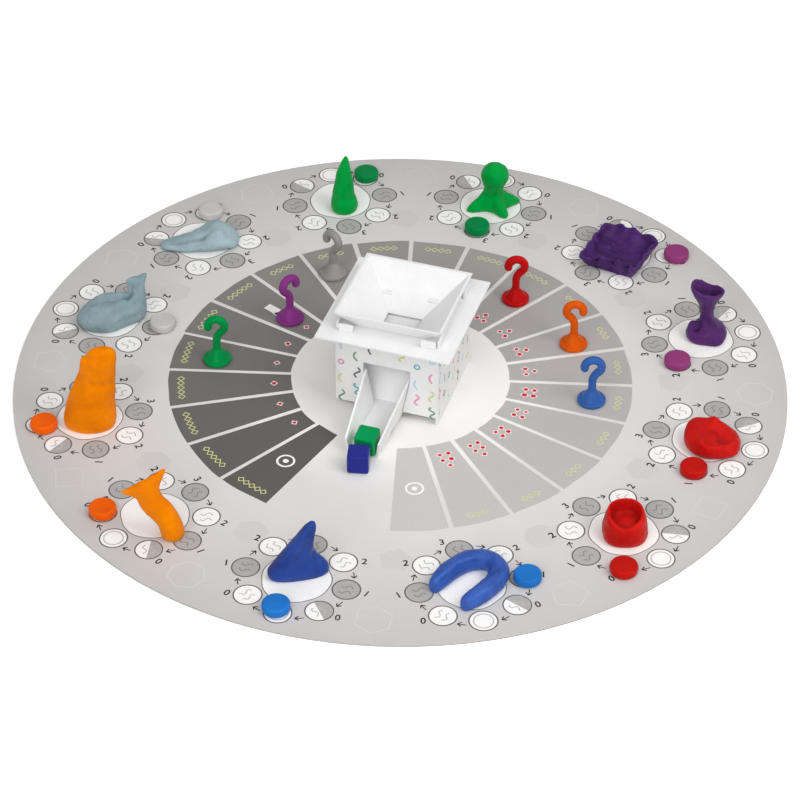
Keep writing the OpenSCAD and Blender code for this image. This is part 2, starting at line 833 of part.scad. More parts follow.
module blue_fin() {
    t = 12;
    color(blue_c)
        on_place(7, 2, 5.6)
            kneaded([[0, -0.01, 0, 0.49, 0.21, t, 0, 0], [0.1, -0.02, 0, 0.505, 0.22, t, 0, 0],
                [0.25, -0.02, 0, 0.385, 0.18, t, 0, 0], [0.41, -0.01, -0.01, 0.275, 0.15, t, 0, 0],
                [0.59, 0.055, -0.02, 0.195, 0.125, t, 0, 0], [0.78, 0.14, -0.03, 0.14, 0.105, t, 0, 0],
                [0.92, 0.205, -0.04, 0.09, 0.08, t, 0, 0], [1, 0.235, -0.04, 0.035, 0.035, t, 0, 0]],
                fin_w, fin_h, 24, 2, 2.6);
}

module orange_tail() {
    color(orange_c)
        on_place(8, 15, -22.5)
            kneaded([[0, -0.02, 0, 0.22, 0.2, 0, 0, 0], [0.07, -0.03, 0, 0.255, 0.24, 0, 0, 0],
                [0.19, -0.07, 0.02, 0.27, 0.25, 0, 0, 0], [0.35, -0.24, 0.05, 0.3, 0.22, 0, 0, 0],
                [0.49, -0.39, 0.05, 0.3, 0.19, 0, 0.1, 0], [0.63, -0.52, 0.05, 0.29, 0.16, 0, 0.3, 0],
                [0.75, -0.56, 0.05, 0.37, 0.13, 0, 0.52, 0], [0.84, -0.56, 0.05, 0.46, 0.1, 0, 0.65, 0],
                [0.89, -0.56, 0.05, 0.495, 0.045, 0, 0.69, 0]],
                tail_w, tail_h, 24, 2, 2, 2, [[[-0.5, 0.05, 0.93], 0.14, [0, 0, -0.03]]]);
}

module orange_peak() {
    color(orange_c)
        on_place(9, 1.4, -7.3)
            kneaded([[0, 0, 0, 0.48, 0.31, 0, 0, 0], [0.1, 0.01, 0, 0.51, 0.32, 0, 0, 0],
                [0.28, 0.04, 0.01, 0.48, 0.28, 0, 0, 0], [0.49, 0.115, 0.02, 0.415, 0.24, 0, 0, 0],
                [0.68, 0.205, 0.03, 0.355, 0.2, 0, 0, 0], [0.84, 0.27, 0.03, 0.325, 0.175, 0, 0, 0],
                [0.89, 0.335, 0.03, 0.26, 0.155, 0, 0, 0], [0.96, 0.37, 0.03, 0.2, 0.12, 0, 0, 0],
                [1, 0.37, 0.03, 0.1, 0.06, 0, 0, 0]], peak_w, peak_h, 24, 2);
}

// Body like a lying whale with its tail raised
module grey_lump() {
    t = 18;
    color(grey_c)
        on_place(10, 2.5, -4.5) {
            kneaded([[0, 0, 0, 0.45, 0.26, t, 0, 0], [0.22, 0, 0, 0.505, 0.3, t, 0, 0],
                [0.5, 0, 0, 0.48, 0.28, t, 0, 0], [0.75, 0.01, 0.03, 0.38, 0.21, t, 0, 0],
                [0.93, 0.04, 0.06, 0.25, 0.13, t, 0, 0], [1, 0.05, 0.07, 0.1, 0.05, t, 0, 0]],
                body_w, body_h, 28, 2, 2, 2, [
                [[0.3, -0.2, 0.2], 0.2, [-0.04, 0.06, 0]],
                [[-0.3, 0.12, 0.5], 0.2, [-0.02, 0.05, 0]]]);
            kneaded([[0.3, 0.32, 0.14, 0.17, 0.13, t, 0, 0], [0.85, 0.33, 0.18, 0.145, 0.1, t, 0, 0],
                [1.15, 0.35, 0.22, 0.115, 0.07, t, 0, 0], [1.38, 0.345, 0.25, 0.14, 0.055, t, 0.22, 0],
                [1.56, 0.36, 0.26, 0.155, 0.03, t, 0.24, 0]], body_w, body_h, 16, 2);
        }
}

module grey_drop() {
    w = drop_w;
    h = drop_h;
    color(grey_c)
        on_place(11, 0, -5.2)
            rolled([[-0.53 * w, -0.07 * w, 0.04 * w, 0.16 * h], [-0.45 * w, -0.065 * w, 0.115 * w, 0.3 * h],
                [-0.25 * w, -0.045 * w, 0.175 * w, 0.38 * h], [0, -0.015 * w, 0.23 * w, 0.66 * h],
                [0.17 * w, 0.025 * w, 0.255 * w, h], [0.32 * w, 0.04 * w, 0.23 * w, 0.86 * h],
                [0.43 * w, 0.05 * w, 0.15 * w, 0.5 * h], [0.47 * w, 0.05 * w, 0.05 * w, 0.2 * h]], 18, 3);
}

board_core();
board_top_sheet();
board_back_sheet();
tower_left_panel();
tower_right_panel();
tower_front_panel();
tower_back_panel();
tower_top_plate();
hopper_front_wall();
hopper_back_wall();
hopper_left_wall();
hopper_right_wall();
drop_ramp();
chute_floor();
chute_left_wall();
chute_right_wall();
green_die();
blue_die();
green_pawn();
purple_pawn();
grey_pawn();
red_pawn();
orange_pawn();
blue_pawn();
green_cone();
green_tripod();
purple_dish();
purple_goblet();
red_lump();
red_pot();
blue_horseshoe();
blue_fin();
orange_tail();
orange_peak();
grey_lump();
grey_drop();
green_token_a();
green_token_b();
purple_token_a();
purple_token_b();
red_token_a();
red_token_b();
blue_token_a();
blue_token_b();
orange_token_a();
orange_token_b();
grey_token_a();
grey_token_b();
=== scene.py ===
"""Looks of a clay guessing board game laid out for play on its round board.

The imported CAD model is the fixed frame. This script prints the board and the card
dice tower, kneads the clay figures and dresses every piece with its finish.
Lengths are in metres and angles in degrees, unless a comment says otherwise.
"""

import json
import logging
import math
import random
from dataclasses import dataclass
from enum import Enum
from typing import Iterable, Iterator, Sequence

import bmesh
import bpy
from mathutils import Matrix, Vector, noise

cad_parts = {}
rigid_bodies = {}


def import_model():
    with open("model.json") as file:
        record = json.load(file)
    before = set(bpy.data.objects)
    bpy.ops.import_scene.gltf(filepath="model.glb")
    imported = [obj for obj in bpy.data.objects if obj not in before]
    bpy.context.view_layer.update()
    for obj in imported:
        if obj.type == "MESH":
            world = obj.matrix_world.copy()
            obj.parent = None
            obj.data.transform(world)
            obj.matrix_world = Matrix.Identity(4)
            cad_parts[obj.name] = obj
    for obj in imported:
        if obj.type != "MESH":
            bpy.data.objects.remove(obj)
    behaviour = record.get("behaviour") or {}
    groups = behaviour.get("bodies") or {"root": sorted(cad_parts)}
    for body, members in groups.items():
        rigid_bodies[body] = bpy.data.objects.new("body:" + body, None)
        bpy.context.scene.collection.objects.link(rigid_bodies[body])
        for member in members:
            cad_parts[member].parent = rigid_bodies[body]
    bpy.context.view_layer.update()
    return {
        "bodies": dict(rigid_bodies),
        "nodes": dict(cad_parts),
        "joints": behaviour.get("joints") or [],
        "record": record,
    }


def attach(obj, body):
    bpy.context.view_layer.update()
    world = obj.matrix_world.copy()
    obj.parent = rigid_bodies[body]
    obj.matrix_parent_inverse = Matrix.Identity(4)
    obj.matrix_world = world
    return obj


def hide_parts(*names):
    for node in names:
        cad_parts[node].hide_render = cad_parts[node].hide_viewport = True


LOG = logging.getLogger("clay_game")
MM = 0.001

# Clay places: distance from the board's middle, direction of the first, and step in degrees
PLACE_RADIUS = 0.2353
FIRST_PLACE = 120
PLACE_STEP = 30

# Height at which loose pieces stand over the board
LOOSE_BASE = 0.00205

Colour = tuple[float, float, float]
Point = tuple[float, float]
Place = tuple[float, float, float]
Socket = bpy.types.NodeSocket


def srgb(red: int, green: int, blue: int) -> Colour:
    """Turns an 8-bit screen colour into the linear colour that shaders take.

    Args:
        red: Red, 0 to 255.
        green: Green, 0 to 255.
        blue: Blue, 0 to 255.

    Returns:
        Linear red, green and blue.
    """
    def linear(value: int) -> float:
        """Gives the linear value of one channel."""
        share = value / 255
        return share / 12.92 if share <= 0.04045 else ((share + 0.055) / 1.055) ** 2.4

    return (linear(red), linear(green), linear(blue))


def polar(radius: float, degrees: float) -> Vector:
    """Gives the point at a radius and an angle about the board's middle.

    Args:
        radius: Distance from the middle.
        degrees: Angle from +X, counter-clockwise.

    Returns:
        The point, at height 0.
    """
    angle = math.radians(degrees)
    return Vector((radius * math.cos(angle), radius * math.sin(angle), 0))


def turned(degrees: float) -> Matrix:
    """Gives a turn about the upright axis."""
    return Matrix.Rotation(math.radians(degrees), 4, "Z")


def place_angle(number: float) -> float:
    """Gives the direction of a clay place in degrees, counted clockwise from the first."""
    return FIRST_PLACE - PLACE_STEP * number


def wave(at: Vector, turn: float, length: float, sweep: float, sway: float) -> list[Vector]:
    """Lays out the points of a wavy line.

    Args:
        at: Middle of the line.
        turn: Its direction in degrees.
        length: Its length.
        sweep: How far along a sine it runs, in radians.
        sway: How far it swings to the left first.

    Returns:
        The points.
    """
    steps = 12
    shares = [index / steps for index in range(steps + 1)]
    return [
        at + polar((share - 0.5) * length, turn) + polar(math.sin(share * sweep) * sway, turn + 90)
        for share in shares
    ]


def to_mesh(bm: bmesh.types.BMesh, name: str) -> bpy.types.Mesh:
    """Writes a bmesh to a new mesh and frees it.

    Args:
        bm: The bmesh.
        name: Name of the mesh.

    Returns:
        The mesh.
    """
    mesh = bpy.data.meshes.new(name)
    bm.to_mesh(mesh)
    bm.free()
    return mesh


def soften(bm: bmesh.types.BMesh, rounds: int = 1) -> None:
    """Evens out a skin by moving each point towards the middle of its neighbours.

    Args:
        bm: The skin.
        rounds: How often.
    """
    for _ in range(rounds):
        bmesh.ops.smooth_vert(
            bm, verts=bm.verts, factor=0.5, use_axis_x=True, use_axis_y=True, use_axis_z=True
        )


# Finishes


class Shader:
    """A node material with a principled shader and a few ways to feed it."""

    def __init__(self, name: str) -> None:
        """Starts an empty material.

        Args:
            name: Name of the material.
        """
        self.material = bpy.data.materials.new(name)
        self.material.use_nodes = True
        self.tree = self.material.node_tree
        self.tree.nodes.clear()
        output = self.node("ShaderNodeOutputMaterial")
        self.skin = self.node("ShaderNodeBsdfPrincipled")
        self.link(self.skin.outputs["BSDF"], output.inputs["Surface"])
        self.place = self.node("ShaderNodeTexCoord").outputs["Object"]

    def node(self, kind: str, **values: float) -> bpy.types.Node:
        """Adds a node and sets plain values on its sockets.

        Args:
            kind: Blender's name of the node.
            **values: Socket names with _ for a space, and their values.

        Returns:
            The node.
        """
        node = self.tree.nodes.new(kind)
        for name, value in values.items():
            node.inputs[name.replace("_", " ")].default_value = value
        return node

    def link(self, start: Socket, end: Socket) -> None:
        """Links two sockets."""
        self.tree.links.new(start, end)

    def put(self, **values: float | Colour) -> None:
        """Sets plain values on the shader's own sockets.

        Args:
            **values: Socket names with _ for a space, and their values.
        """
        for name, value in values.items():
            socket = self.skin.inputs[name.replace("_", " ")]
            wide = isinstance(value, tuple) and len(socket.default_value) == 4
            socket.default_value = (*value, 1) if wide else value

    def feed(self, socket: str, value: Socket) -> None:
        """Links a value to one of the shader's sockets."""
        self.link(value, self.skin.inputs[socket])

    def noise(self, scale: float, detail: float = 3, rough: float = 0.5) -> Socket:
        """Adds a noise on Object coordinates.

        Args:
            scale: Grains in a metre.
            detail: Octaves.
            rough: Strength of the finer octaves.

        Returns:
            The noise's value socket.
        """
        node = self.node("ShaderNodeTexNoise", Scale=scale, Detail=detail, Roughness=rough)
        self.link(self.place, node.inputs["Vector"])
        return node.outputs["Fac"]

    def painted(self, attribute: str) -> bpy.types.Node:
        """Adds a node that reads an attribute of the mesh.

        Args:
            attribute: Name of the attribute.

        Returns:
            The node.
        """
        node = self.node("ShaderNodeAttribute")
        node.attribute_name = attribute
        return node

    def away(self) -> Socket:
        """Adds the distance from the board's middle.

        Returns:
            The distance's socket.
        """
        node = self.node("ShaderNodeVectorMath")
        node.operation = "LENGTH"
        self.link(self.place, node.inputs[0])
        return node.outputs["Value"]

    def ramp(self, value: Socket, stops: Sequence[tuple[float, Colour]]) -> Socket:
        """Colours a value through a ramp.

        Args:
            value: Socket that holds the value.
            stops: Positions from 0 to 1 with their colours.

        Returns:
            The colour socket.
        """
        node = self.node("ShaderNodeValToRGB")
        while len(node.color_ramp.elements) < len(stops):
            node.color_ramp.elements.new(0.5)
        for element, (position, colour) in zip(node.color_ramp.elements, stops):
            element.position = position
            element.color = (*colour, 1)
        self.link(value, node.inputs["Fac"])
        return node.outputs["Color"]

    def spread(
        self, value: Socket, low: float, high: float, start: float = 0, end: float = 1
    ) -> Socket:
        """Maps a value to another range.

        Args:
            value: Socket that holds the value.
            low: Result at the start.
            high: Result at the end.
            start: Value that the range starts at.
            end: Value that the range ends at.

        Returns:
            The mapped socket.
        """
        node = self.node(
            "ShaderNodeMapRange", From_Min=start, From_Max=end, To_Min=low, To_Max=high
        )
        self.link(value, node.inputs["Value"])
        return node.outputs["Result"]

    def times(self, colour: Socket, shade: Socket) -> Socket:
        """Multiplies a colour by a shade.

        Args:
            colour: Colour socket.
            shade: Socket that holds a value or colour around 1.

        Returns:
            The product's colour socket.
        """
        node = self.node("ShaderNodeMix")
        node.data_type = "RGBA"
        node.blend_type = "MULTIPLY"
        node.inputs["Factor"].default_value = 1
        self.link(colour, node.inputs["A"])
        self.link(shade, node.inputs["B"])
        return node.outputs["Result"]

    def bump(self, *heights: tuple[Socket, float, float]) -> None:
        """Stacks bumps on the shader's normal.

        Args:
            *heights: A height socket, its strength and its depth in metres.
        """
        below = None
        for height, strength, depth in heights:
            node = self.node("ShaderNodeBump", Strength=strength, Distance=depth)
            self.link(height, node.inputs["Height"])
            if below is not None:
                self.link(below, node.inputs["Normal"])
            below = node.outputs["Normal"]
        self.feed("Normal", below)


@dataclass(frozen=True)
class ClayFinish:
    """Soft modelling clay: dull sheen, finger smears, painted shade in hollows and a painted
    highlight on ridges.
    """

    name: str
    light: Colour
    deep: Colour
    gloss: float = 0.3
    white_sheen: float = 0.2
    mottle_scale: float = 48
    dull_scale: float = 140
    dullness: Point = (0.36, 0.56)
    smear_scale: float = 200
    pore_scale: float = 1400
    # Colour factors from hollow to ridge: painted shade in hollows, below 1, and a painted
    # highlight on ridges, above 1
    rub: tuple[Point, ...] = ((0.0, 0.62), (0.42, 0.95), (0.58, 1.0), (1.0, 1.16))

    def material(self) -> bpy.types.Material:
        """Builds the clay's material.

        Returns:
            The material.
        """
        shader = Shader(self.name)
        white = self.white_sheen * self.gloss
        shader.put(
            Specular_IOR_Level=self.gloss,
            Specular_Tint=tuple(white + (1 - white) * channel for channel in self.light),
            Subsurface_Weight=0.05,
            Subsurface_Scale=0.002,
        )
        mottle = shader.noise(self.mottle_scale)
        colour = shader.ramp(mottle, ((0.3, self.deep), (0.62, self.light)))
        # Painted shade and highlight: the colour is darkened in the skin's hollows and paled on
        # its ridges
        hollow_shade = shader.painted("hollow_shade").outputs["Fac"]
        rub = shader.ramp(hollow_shade, [(height, (shade,) * 3) for height, shade in self.rub])
        shader.feed("Base Color", shader.times(colour, rub))
        shader.feed("Roughness", shader.spread(shader.noise(self.dull_scale, 2), *self.dullness))
        shader.bump(
            (shader.noise(self.smear_scale), 0.25, 0.0007),
            (shader.noise(self.pore_scale, 2), 0.15, 0.0002),
        )
        return shader.material


@dataclass(frozen=True)
class PlasticFinish:
    """Moulded plastic in one colour with a soft moulding texture."""

    name: str
    colour: Colour
    roughness: float
    white_sheen: float = 0.2
    flow_scale: float = 70
    flow_shade: float = 0.86
    scuff_scale: float = 420
    skin_scale: float = 900

    def material(self) -> bpy.types.Material:
        """Builds the plastic's material.

        Returns:
            The material.
        """
        shader = Shader(self.name)
        white = self.white_sheen
        shader.put(
            Specular_IOR_Level=0.2,
            Specular_Tint=tuple(white + (1 - white) * channel for channel in self.colour),
        )
        dark = tuple(channel * self.flow_shade for channel in self.colour)
        flow = shader.noise(self.flow_scale)
        shader.feed("Base Color", shader.ramp(flow, ((0.3, dark), (0.65, self.colour))))
        scuffs = shader.noise(self.scuff_scale, 4, 0.65)
        gloss = shader.spread(scuffs, self.roughness * 0.75, self.roughness * 1.45)
        shader.feed("Roughness", gloss)
        shader.bump((shader.noise(self.skin_scale, 2), 0.08, 0.0001))
        return shader.material


@dataclass(frozen=True)
class PaperFinish:
    """Matt paper or card with fibres and faint mottling; thin card lets some light through."""

    name: str
    colour: Colour
    roughness: float = 0.6
    glow: float = 0.0
    mottle_scale: float = 90
    mottle_shade: float = 0.955
    rub_scale: float = 600
    fibre_scale: float = 2400
    warp_scale: float = 60

    def material(self) -> bpy.types.Material:
        """Builds the paper's material.

        Returns:
            The material.
        """
        shader = Shader(self.name)
        shader.put(
            Specular_IOR_Level=0.3,
            Subsurface_Weight=self.glow,
            Subsurface_Scale=0.003,
            Subsurface_Radius=(1.0, 1.0, 1.0),
        )
        dull = tuple(channel * self.mottle_shade for channel in self.colour)
        mottle = shader.noise(self.mottle_scale, 5, 0.62)
        shader.feed("Base Color", shader.ramp(mottle, ((0.3, dull), (0.65, self.colour))))
        rub = shader.noise(self.rub_scale)
        gloss = shader.spread(rub, self.roughness - 0.08, self.roughness + 0.1)
        shader.feed("Roughness", gloss)
        shader.bump(
            (shader.noise(self.fibre_scale, 3, 0.7), 0.1, 0.00006),
            (shader.noise(self.warp_scale, 2), 0.05, 0.0006),
        )
        return shader.material


@dataclass(frozen=True)
class SheetFinish:
    """The board's printed top sheet, paler towards its middle."""

    name: str
    stops: tuple[tuple[float, Colour], ...]
    reach: float
    cloud_scale: float = 16
    rub_scale: float = 300
    fibre_scale: float = 2000

    def material(self) -> bpy.types.Material:
        """Builds the sheet's material from the distance to the board's middle.

        Returns:
            The material.
        """
        shader = Shader(self.name)
        shader.put(Specular_IOR_Level=0.32)
        tone = shader.ramp(shader.spread(shader.away(), 0, 1, end=self.reach), self.stops)
        clouds = shader.spread(shader.noise(self.cloud_scale, 5, 0.6), 0.955, 1.035)
        shader.feed("Base Color", shader.times(tone, clouds))
        shader.feed("Roughness", shader.spread(shader.noise(self.rub_scale), 0.42, 0.6))
        shader.bump((shader.noise(self.fibre_scale, 3, 0.7), 0.08, 0.00005))
        return shader.material


@dataclass(frozen=True)
class InkFinish:
    """Printing ink whose colour is painted on the print's own faces."""

    name: str
    grain_scale: float = 420
    rub_scale: float = 300
    fibre_scale: float = 2000

    def material(self) -> bpy.types.Material:
        """Builds the ink's material from the print's ink attribute.

        Returns:
            The material.
        """
        shader = Shader(self.name)
        shader.put(Specular_IOR_Level=0.32)
        ink = shader.painted("ink").outputs["Color"]
        grain = shader.spread(shader.noise(self.grain_scale, 4, 0.65), 0.93, 1.06)
        shader.feed("Base Color", shader.times(ink, grain))
        shader.feed("Roughness", shader.spread(shader.noise(self.rub_scale), 0.44, 0.62))
        shader.bump((shader.noise(self.fibre_scale, 3, 0.7), 0.08, 0.00005))
        return shader.material


def moulded(kind: str, roughness: float, **colours: Colour) -> dict[str, PlasticFinish]:
    """Gives the finishes of one kind of moulded piece.

    Args:
        kind: Kind of piece.
        roughness: Roughness of its plastic.
        **colours: Names of the colours with the colours.

    Returns:
        The finishes by the names of their colours.
    """
    return {
        name: PlasticFinish(f"{kind}_{name}", colour, roughness)
        for name, colour in colours.items()
    }


CLAY = {
    "green": ClayFinish("clay_green", srgb(0, 160, 66), srgb(0, 140, 56)),
    "purple": ClayFinish("clay_purple", srgb(82, 41, 102), srgb(60, 29, 80), 0.6),
    # A darker and slightly bluer copy of the purple clay for the dish: the darkening is painted
    # shade
    "purple_dish": ClayFinish("clay_purple_painted_shade", srgb(74, 36, 104), srgb(54, 24, 80), 0.9),
    "red": ClayFinish("clay_red", srgb(194, 22, 16), srgb(172, 13, 11), 0.5),
    "blue": ClayFinish("clay_blue", srgb(56, 94, 178), srgb(40, 74, 152), 1.0),
    # A darker copy of the blue clay for the fin: painted shade
    "blue_fin": ClayFinish("clay_blue_painted_shade", srgb(38, 68, 146), srgb(28, 54, 124), 0.8),
    "orange": ClayFinish("clay_orange", srgb(236, 131, 0), srgb(220, 115, 0)),
    "grey": ClayFinish("clay_grey", srgb(140, 161, 168), srgb(116, 140, 146)),
    "grey_drop": ClayFinish("clay_pale_grey", srgb(162, 183, 190), srgb(138, 160, 166)),
}
PAWN = moulded(
    "pawn",
    0.24,
    green=srgb(0, 142, 70),
    purple=srgb(136, 54, 132),
    grey=srgb(150, 148, 145),
    red=srgb(190, 18, 20),
    orange=srgb(218, 88, 8),
    blue=srgb(55, 97, 168),
)
TOKEN = moulded(
    "token",
    0.34,
    green=srgb(0, 136, 70),
    purple=srgb(146, 60, 118),
    grey=srgb(200, 198, 196),
    red=srgb(190, 20, 14),
    orange=srgb(242, 98, 6),
    blue=srgb(34, 116, 198),
)
DIE = moulded("die", 0.2, green=srgb(0, 148, 80), blue=srgb(42, 47, 138))
CARD = PaperFinish("white_card", srgb(238, 238, 238), 0.5, 0.3)
# A paler copy of the white card for the ramp and chute: painted light in their shade
LIT_CARD = PaperFinish("card_painted_light", srgb(250, 250, 250), 0.5, 0.3)
CORE = PaperFinish("board_grey", srgb(186, 184, 181), 0.75)
BACK = PaperFinish("board_back", srgb(96, 96, 98), 0.6)
BOARD_INK = InkFinish("board_ink")
TOWER_INK = InkFinish("tower_ink")


# Printing

# How finely hand-drawn edges stray, in waves per metre, and how far those of a field stray
DISC_WAVER = 60
FIELD_WAVER = 40
FIELD_STRAY = 0.0012
FIELD_STRAY_DEGREES = 0.25

# Type size and swell of the strokes as shares of a digit's height
DIGIT_SIZE = 1.4
DIGIT_SWELL = 0.03


class Print:
    """Flat print on one plane, one coloured patch after another."""

    def __init__(self, plane: Matrix) -> None:
        """Starts an empty print.

        Args:
            plane: Where the print's own X and Y lie; its Z is the side that shows.
        """
        self.plane = plane
        self.bm = bmesh.new()
        self.ink = self.bm.loops.layers.float_color.new("ink")

    def _paint(self, faces: Iterable[bmesh.types.BMFace], colour: Colour) -> None:
        """Gives faces their ink and turns them to the side that shows.

        Args:
            faces: The faces.
            colour: Linear ink colour.
        """
        for face in faces:
            face.normal_update()
            if face.normal.z < 0:
                face.normal_flip()
            for loop in face.loops:
                loop[self.ink] = (*colour, 1)

    @staticmethod
    def _faces_on(verts: Iterable[bmesh.types.BMVert]) -> list[bmesh.types.BMFace]:
        """Collects the faces that hang on vertices, each once and always in the same order."""
        return list(dict.fromkeys(face for vert in verts for face in vert.link_faces))

    def disc(
        self,
        at: Vector,
        radius: float,
        colour: Colour,
        level: float = 0,
        sides: int = 40,
        wobble: float = 0,
        turn: float = 0,
    ) -> None:
        """Prints a filled disc, or a polygon where it has few sides.

        Args:
            at: Middle.
            radius: Radius.
            colour: Ink.
            level: Height over the plane.
            sides: Number of sides.
            wobble: Share of the radius by which a hand-drawn edge strays.
            turn: Turn in degrees.
        """
        middle = Vector((at.x, at.y, level))
        where = Matrix.Translation(middle) @ turned(turn)
        made = bmesh.ops.create_circle(
            self.bm, cap_ends=True, radius=radius, segments=sides, matrix=where
        )["verts"]
        for vert in made:
            vert.co += (vert.co - middle) * (noise.noise(vert.co * DISC_WAVER) * wobble)
        self._paint(self._faces_on(made), colour)

    def ring(
        self,
        at: Vector,
        radius: float,
        width: float,
        colour: Colour,
        level: float = 0,
        sides: int = 40,
        turn: float = 0,
    ) -> None:
        """Prints a ring, or an outlined polygon where it has few sides.

        Args:
            at: Middle.
            radius: Outer radius.
            width: Line width.
            colour: Ink.
            level: Height over the plane.
            sides: Number of sides.
            turn: Turn in degrees.
        """
        middle = Vector((at.x, at.y, level))
        where = Matrix.Translation(middle) @ turned(turn)
        made = bmesh.ops.create_circle(
            self.bm, cap_ends=False, radius=radius, segments=sides, matrix=where
        )["verts"]
        edges = list(dict.fromkeys(edge for vert in made for edge in vert.link_edges))
        grown = bmesh.ops.extrude_edge_only(self.bm, edges=edges)["geom"]
        inner = [item for item in grown if isinstance(item, bmesh.types.BMVert)]
        for vert in inner:
            vert.co = middle + (vert.co - middle) * (1 - width / radius)
        self._paint(self._faces_on(inner), colour)

    def half_disc(
        self, at: Vector, radius: float, colour: Colour, level: float, turn: float
    ) -> None:
        """Prints half a disc by spinning its radius.

        Args:
            at: Middle of the full disc.
            radius: Radius.
            colour: Ink.
            level: Height over the plane.
            turn: Direction in degrees of the half's start.
        """
        middle = Vector((at.x, at.y, level))
        near = radius * 1e-3
        verts = [self.bm.verts.new(middle + polar(share * radius, turn)) for share in (0.0, 1.0)]
        edge = self.bm.edges.new(verts)
        bmesh.ops.spin(
            self.bm,
            geom=[*verts, edge],
            cent=middle,
            axis=(0, 0, 1),
            angle=math.pi,
            steps=20,
            use_merge=False,
        )
        hubs = [
            vert for vert in self.bm.verts
            if (vert.co - middle).length < near and vert.co.z == middle.z
        ]
        bmesh.ops.remove_doubles(self.bm, verts=hubs, dist=near)
        self.bm.verts.ensure_lookup_table()
        hub = min(self.bm.verts, key=lambda vert: (vert.co - middle).length)
        self._paint(hub.link_faces, colour)

    def stroke(
        self, points: Sequence[Vector], width: float, colour: Colour, level: float = 0
    ) -> None:
        """Prints a line of one width by extruding its end along the points.

        Args:
            points: Two or more points.
            width: Line width.
            colour: Ink.
            level: Height over the plane.
        """
        path = [Vector((point.x, point.y, level)) for point in points]
        made: list[bmesh.types.BMVert] = []
        ends: list[bmesh.types.BMVert] = []
        edge = None
        for index, point in enumerate(path):
            way = (path[min(index + 1, len(path) - 1)] - path[max(index - 1, 0)]).normalized()
            side = Vector((-way.y, way.x, 0)) * width / 2
            if edge is None:
                ends = [self.bm.verts.new(point + side), self.bm.verts.new(point - side)]
                edge = self.bm.edges.new(ends)
            else:
                grown = bmesh.ops.extrude_edge_only(self.bm, edges=[edge])["geom"]
                fresh = [item for item in grown if isinstance(item, bmesh.types.BMVert)]
                edge = next(item for item in grown if isinstance(item, bmesh.types.BMEdge))
                left = next(
                    vert for vert in fresh
                    if any(link.other_vert(vert) is ends[0] for link in vert.link_edges)
                )
                right = next(vert for vert in fresh if vert is not left)
                left.co = point + side
                right.co = point - side
                ends = [left, right]
            made.extend(ends)
        self._paint(self._faces_on(made), colour)

    def field(
        self, inner: float, outer: float, middle: float, sweep: float, inset: float, colour: Colour
    ) -> None:
        """Prints one field of the track with hand-cut edges.

        Args:
            inner: Inner radius.
            outer: Outer radius.
            middle: Middle angle in degrees.
            sweep: Angle between the lines on both sides in degrees.
            inset: Half the width of the pale line between two fields.
            colour: Ink.
        """
        before = set(self.bm.verts)
        verts = [self.bm.verts.new(polar(radius, middle - sweep / 2)) for radius in (inner, outer)]
        edge = self.bm.edges.new(verts)
        bmesh.ops.spin(
            self.bm,
            geom=[*verts, edge],
            cent=(0, 0, 0),
            axis=(0, 0, 1),
            angle=math.radians(sweep),
            steps=8,
            use_merge=False,
        )
        made = [vert for vert in self.bm.verts if vert not in before]
        for vert in made:
            radius = vert.co.length
            angle = math.degrees(math.atan2(vert.co.y, vert.co.x))
            off = (angle - middle + 180) % 360 - 180
            room = sweep / 2 - math.degrees(math.asin(inset / radius))
            stray = noise.noise(vert.co * FIELD_WAVER + Vector((7, 3, middle)))
            angle = middle + off / (sweep / 2) * room + stray * FIELD_STRAY_DEGREES
            vert.co = polar(radius + stray * FIELD_STRAY, angle)
        self._paint(self._faces_on(made), colour)

    def digit(
        self, value: int, at: Vector, height: float, turn: float, colour: Colour
    ) -> None:
        """Prints one digit.

        Args:
            value: The digit.
            at: Its middle.
            height: Its height.
            turn: Its turn in degrees.
            colour: Ink.
        """
        curve = bpy.data.curves.new("digit", "FONT")
        curve.body = str(value)
        curve.size = height * DIGIT_SIZE
        curve.offset = height * DIGIT_SWELL
        curve.align_x = "CENTER"
        curve.align_y = "CENTER"
        curve.resolution_u = 4
        letter = bpy.data.objects.new("digit", curve)
        mesh = bpy.data.meshes.new_from_object(letter)
        mesh.transform(Matrix.Translation((at.x, at.y, 0)) @ turned(turn))
        before = set(self.bm.faces)
        self.bm.from_mesh(mesh)
        self._paint([face for face in self.bm.faces if face not in before], colour)
        bpy.data.objects.remove(letter)
        bpy.data.curves.remove(curve)
        bpy.data.meshes.remove(mesh)

    def finish(self, name: str, body: str, slot: str, material: bpy.types.Material) -> None:
        """Makes the print a piece that rides on a body.

        Args:
            name: Name of the piece.
            body: Body it rides on.
            slot: Not used.
            material: Ink material.
        """
        bmesh.ops.transform(self.bm, matrix=self.plane, verts=self.bm.verts)
        add_piece(name, to_mesh(self.bm, name), body, material)


def add_piece(
    name: str, mesh: bpy.types.Mesh, body: str, material: bpy.types.Material
) -> bpy.types.Object:
    """Adds a mesh to the scene as a piece of the object.

    Args:
        name: Name of the piece.
        mesh: Its mesh.
        body: Body it rides on.
        material: Its material.

    Returns:
        The piece.
    """
    piece = bpy.data.objects.new(name, mesh)
    bpy.context.scene.collection.objects.link(piece)
    mesh.materials.clear()
    mesh.materials.append(material)
    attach(piece, body)
    LOG.info("piece %s: %d faces", name, len(mesh.polygons))
    return piece


def dress(frame: dict, material: bpy.types.Material, *nodes: str) -> None:
    """Gives CAD nodes a material.

    Args:
        frame: The loaded frame.
        material: The material.
        *nodes: Node names.
    """
    for node in nodes:
        mesh = frame["nodes"][node].data
        mesh.materials.clear()
        mesh.materials.append(material)
        LOG.info("node %s: %s", node, material.name)


# The board


class SpotInk(Enum):
    """How a spot on the ring around a clay place is filled."""

    BLANK = "blank"
    WHITE = "white"
    GREY = "grey"
    HALF = "half"


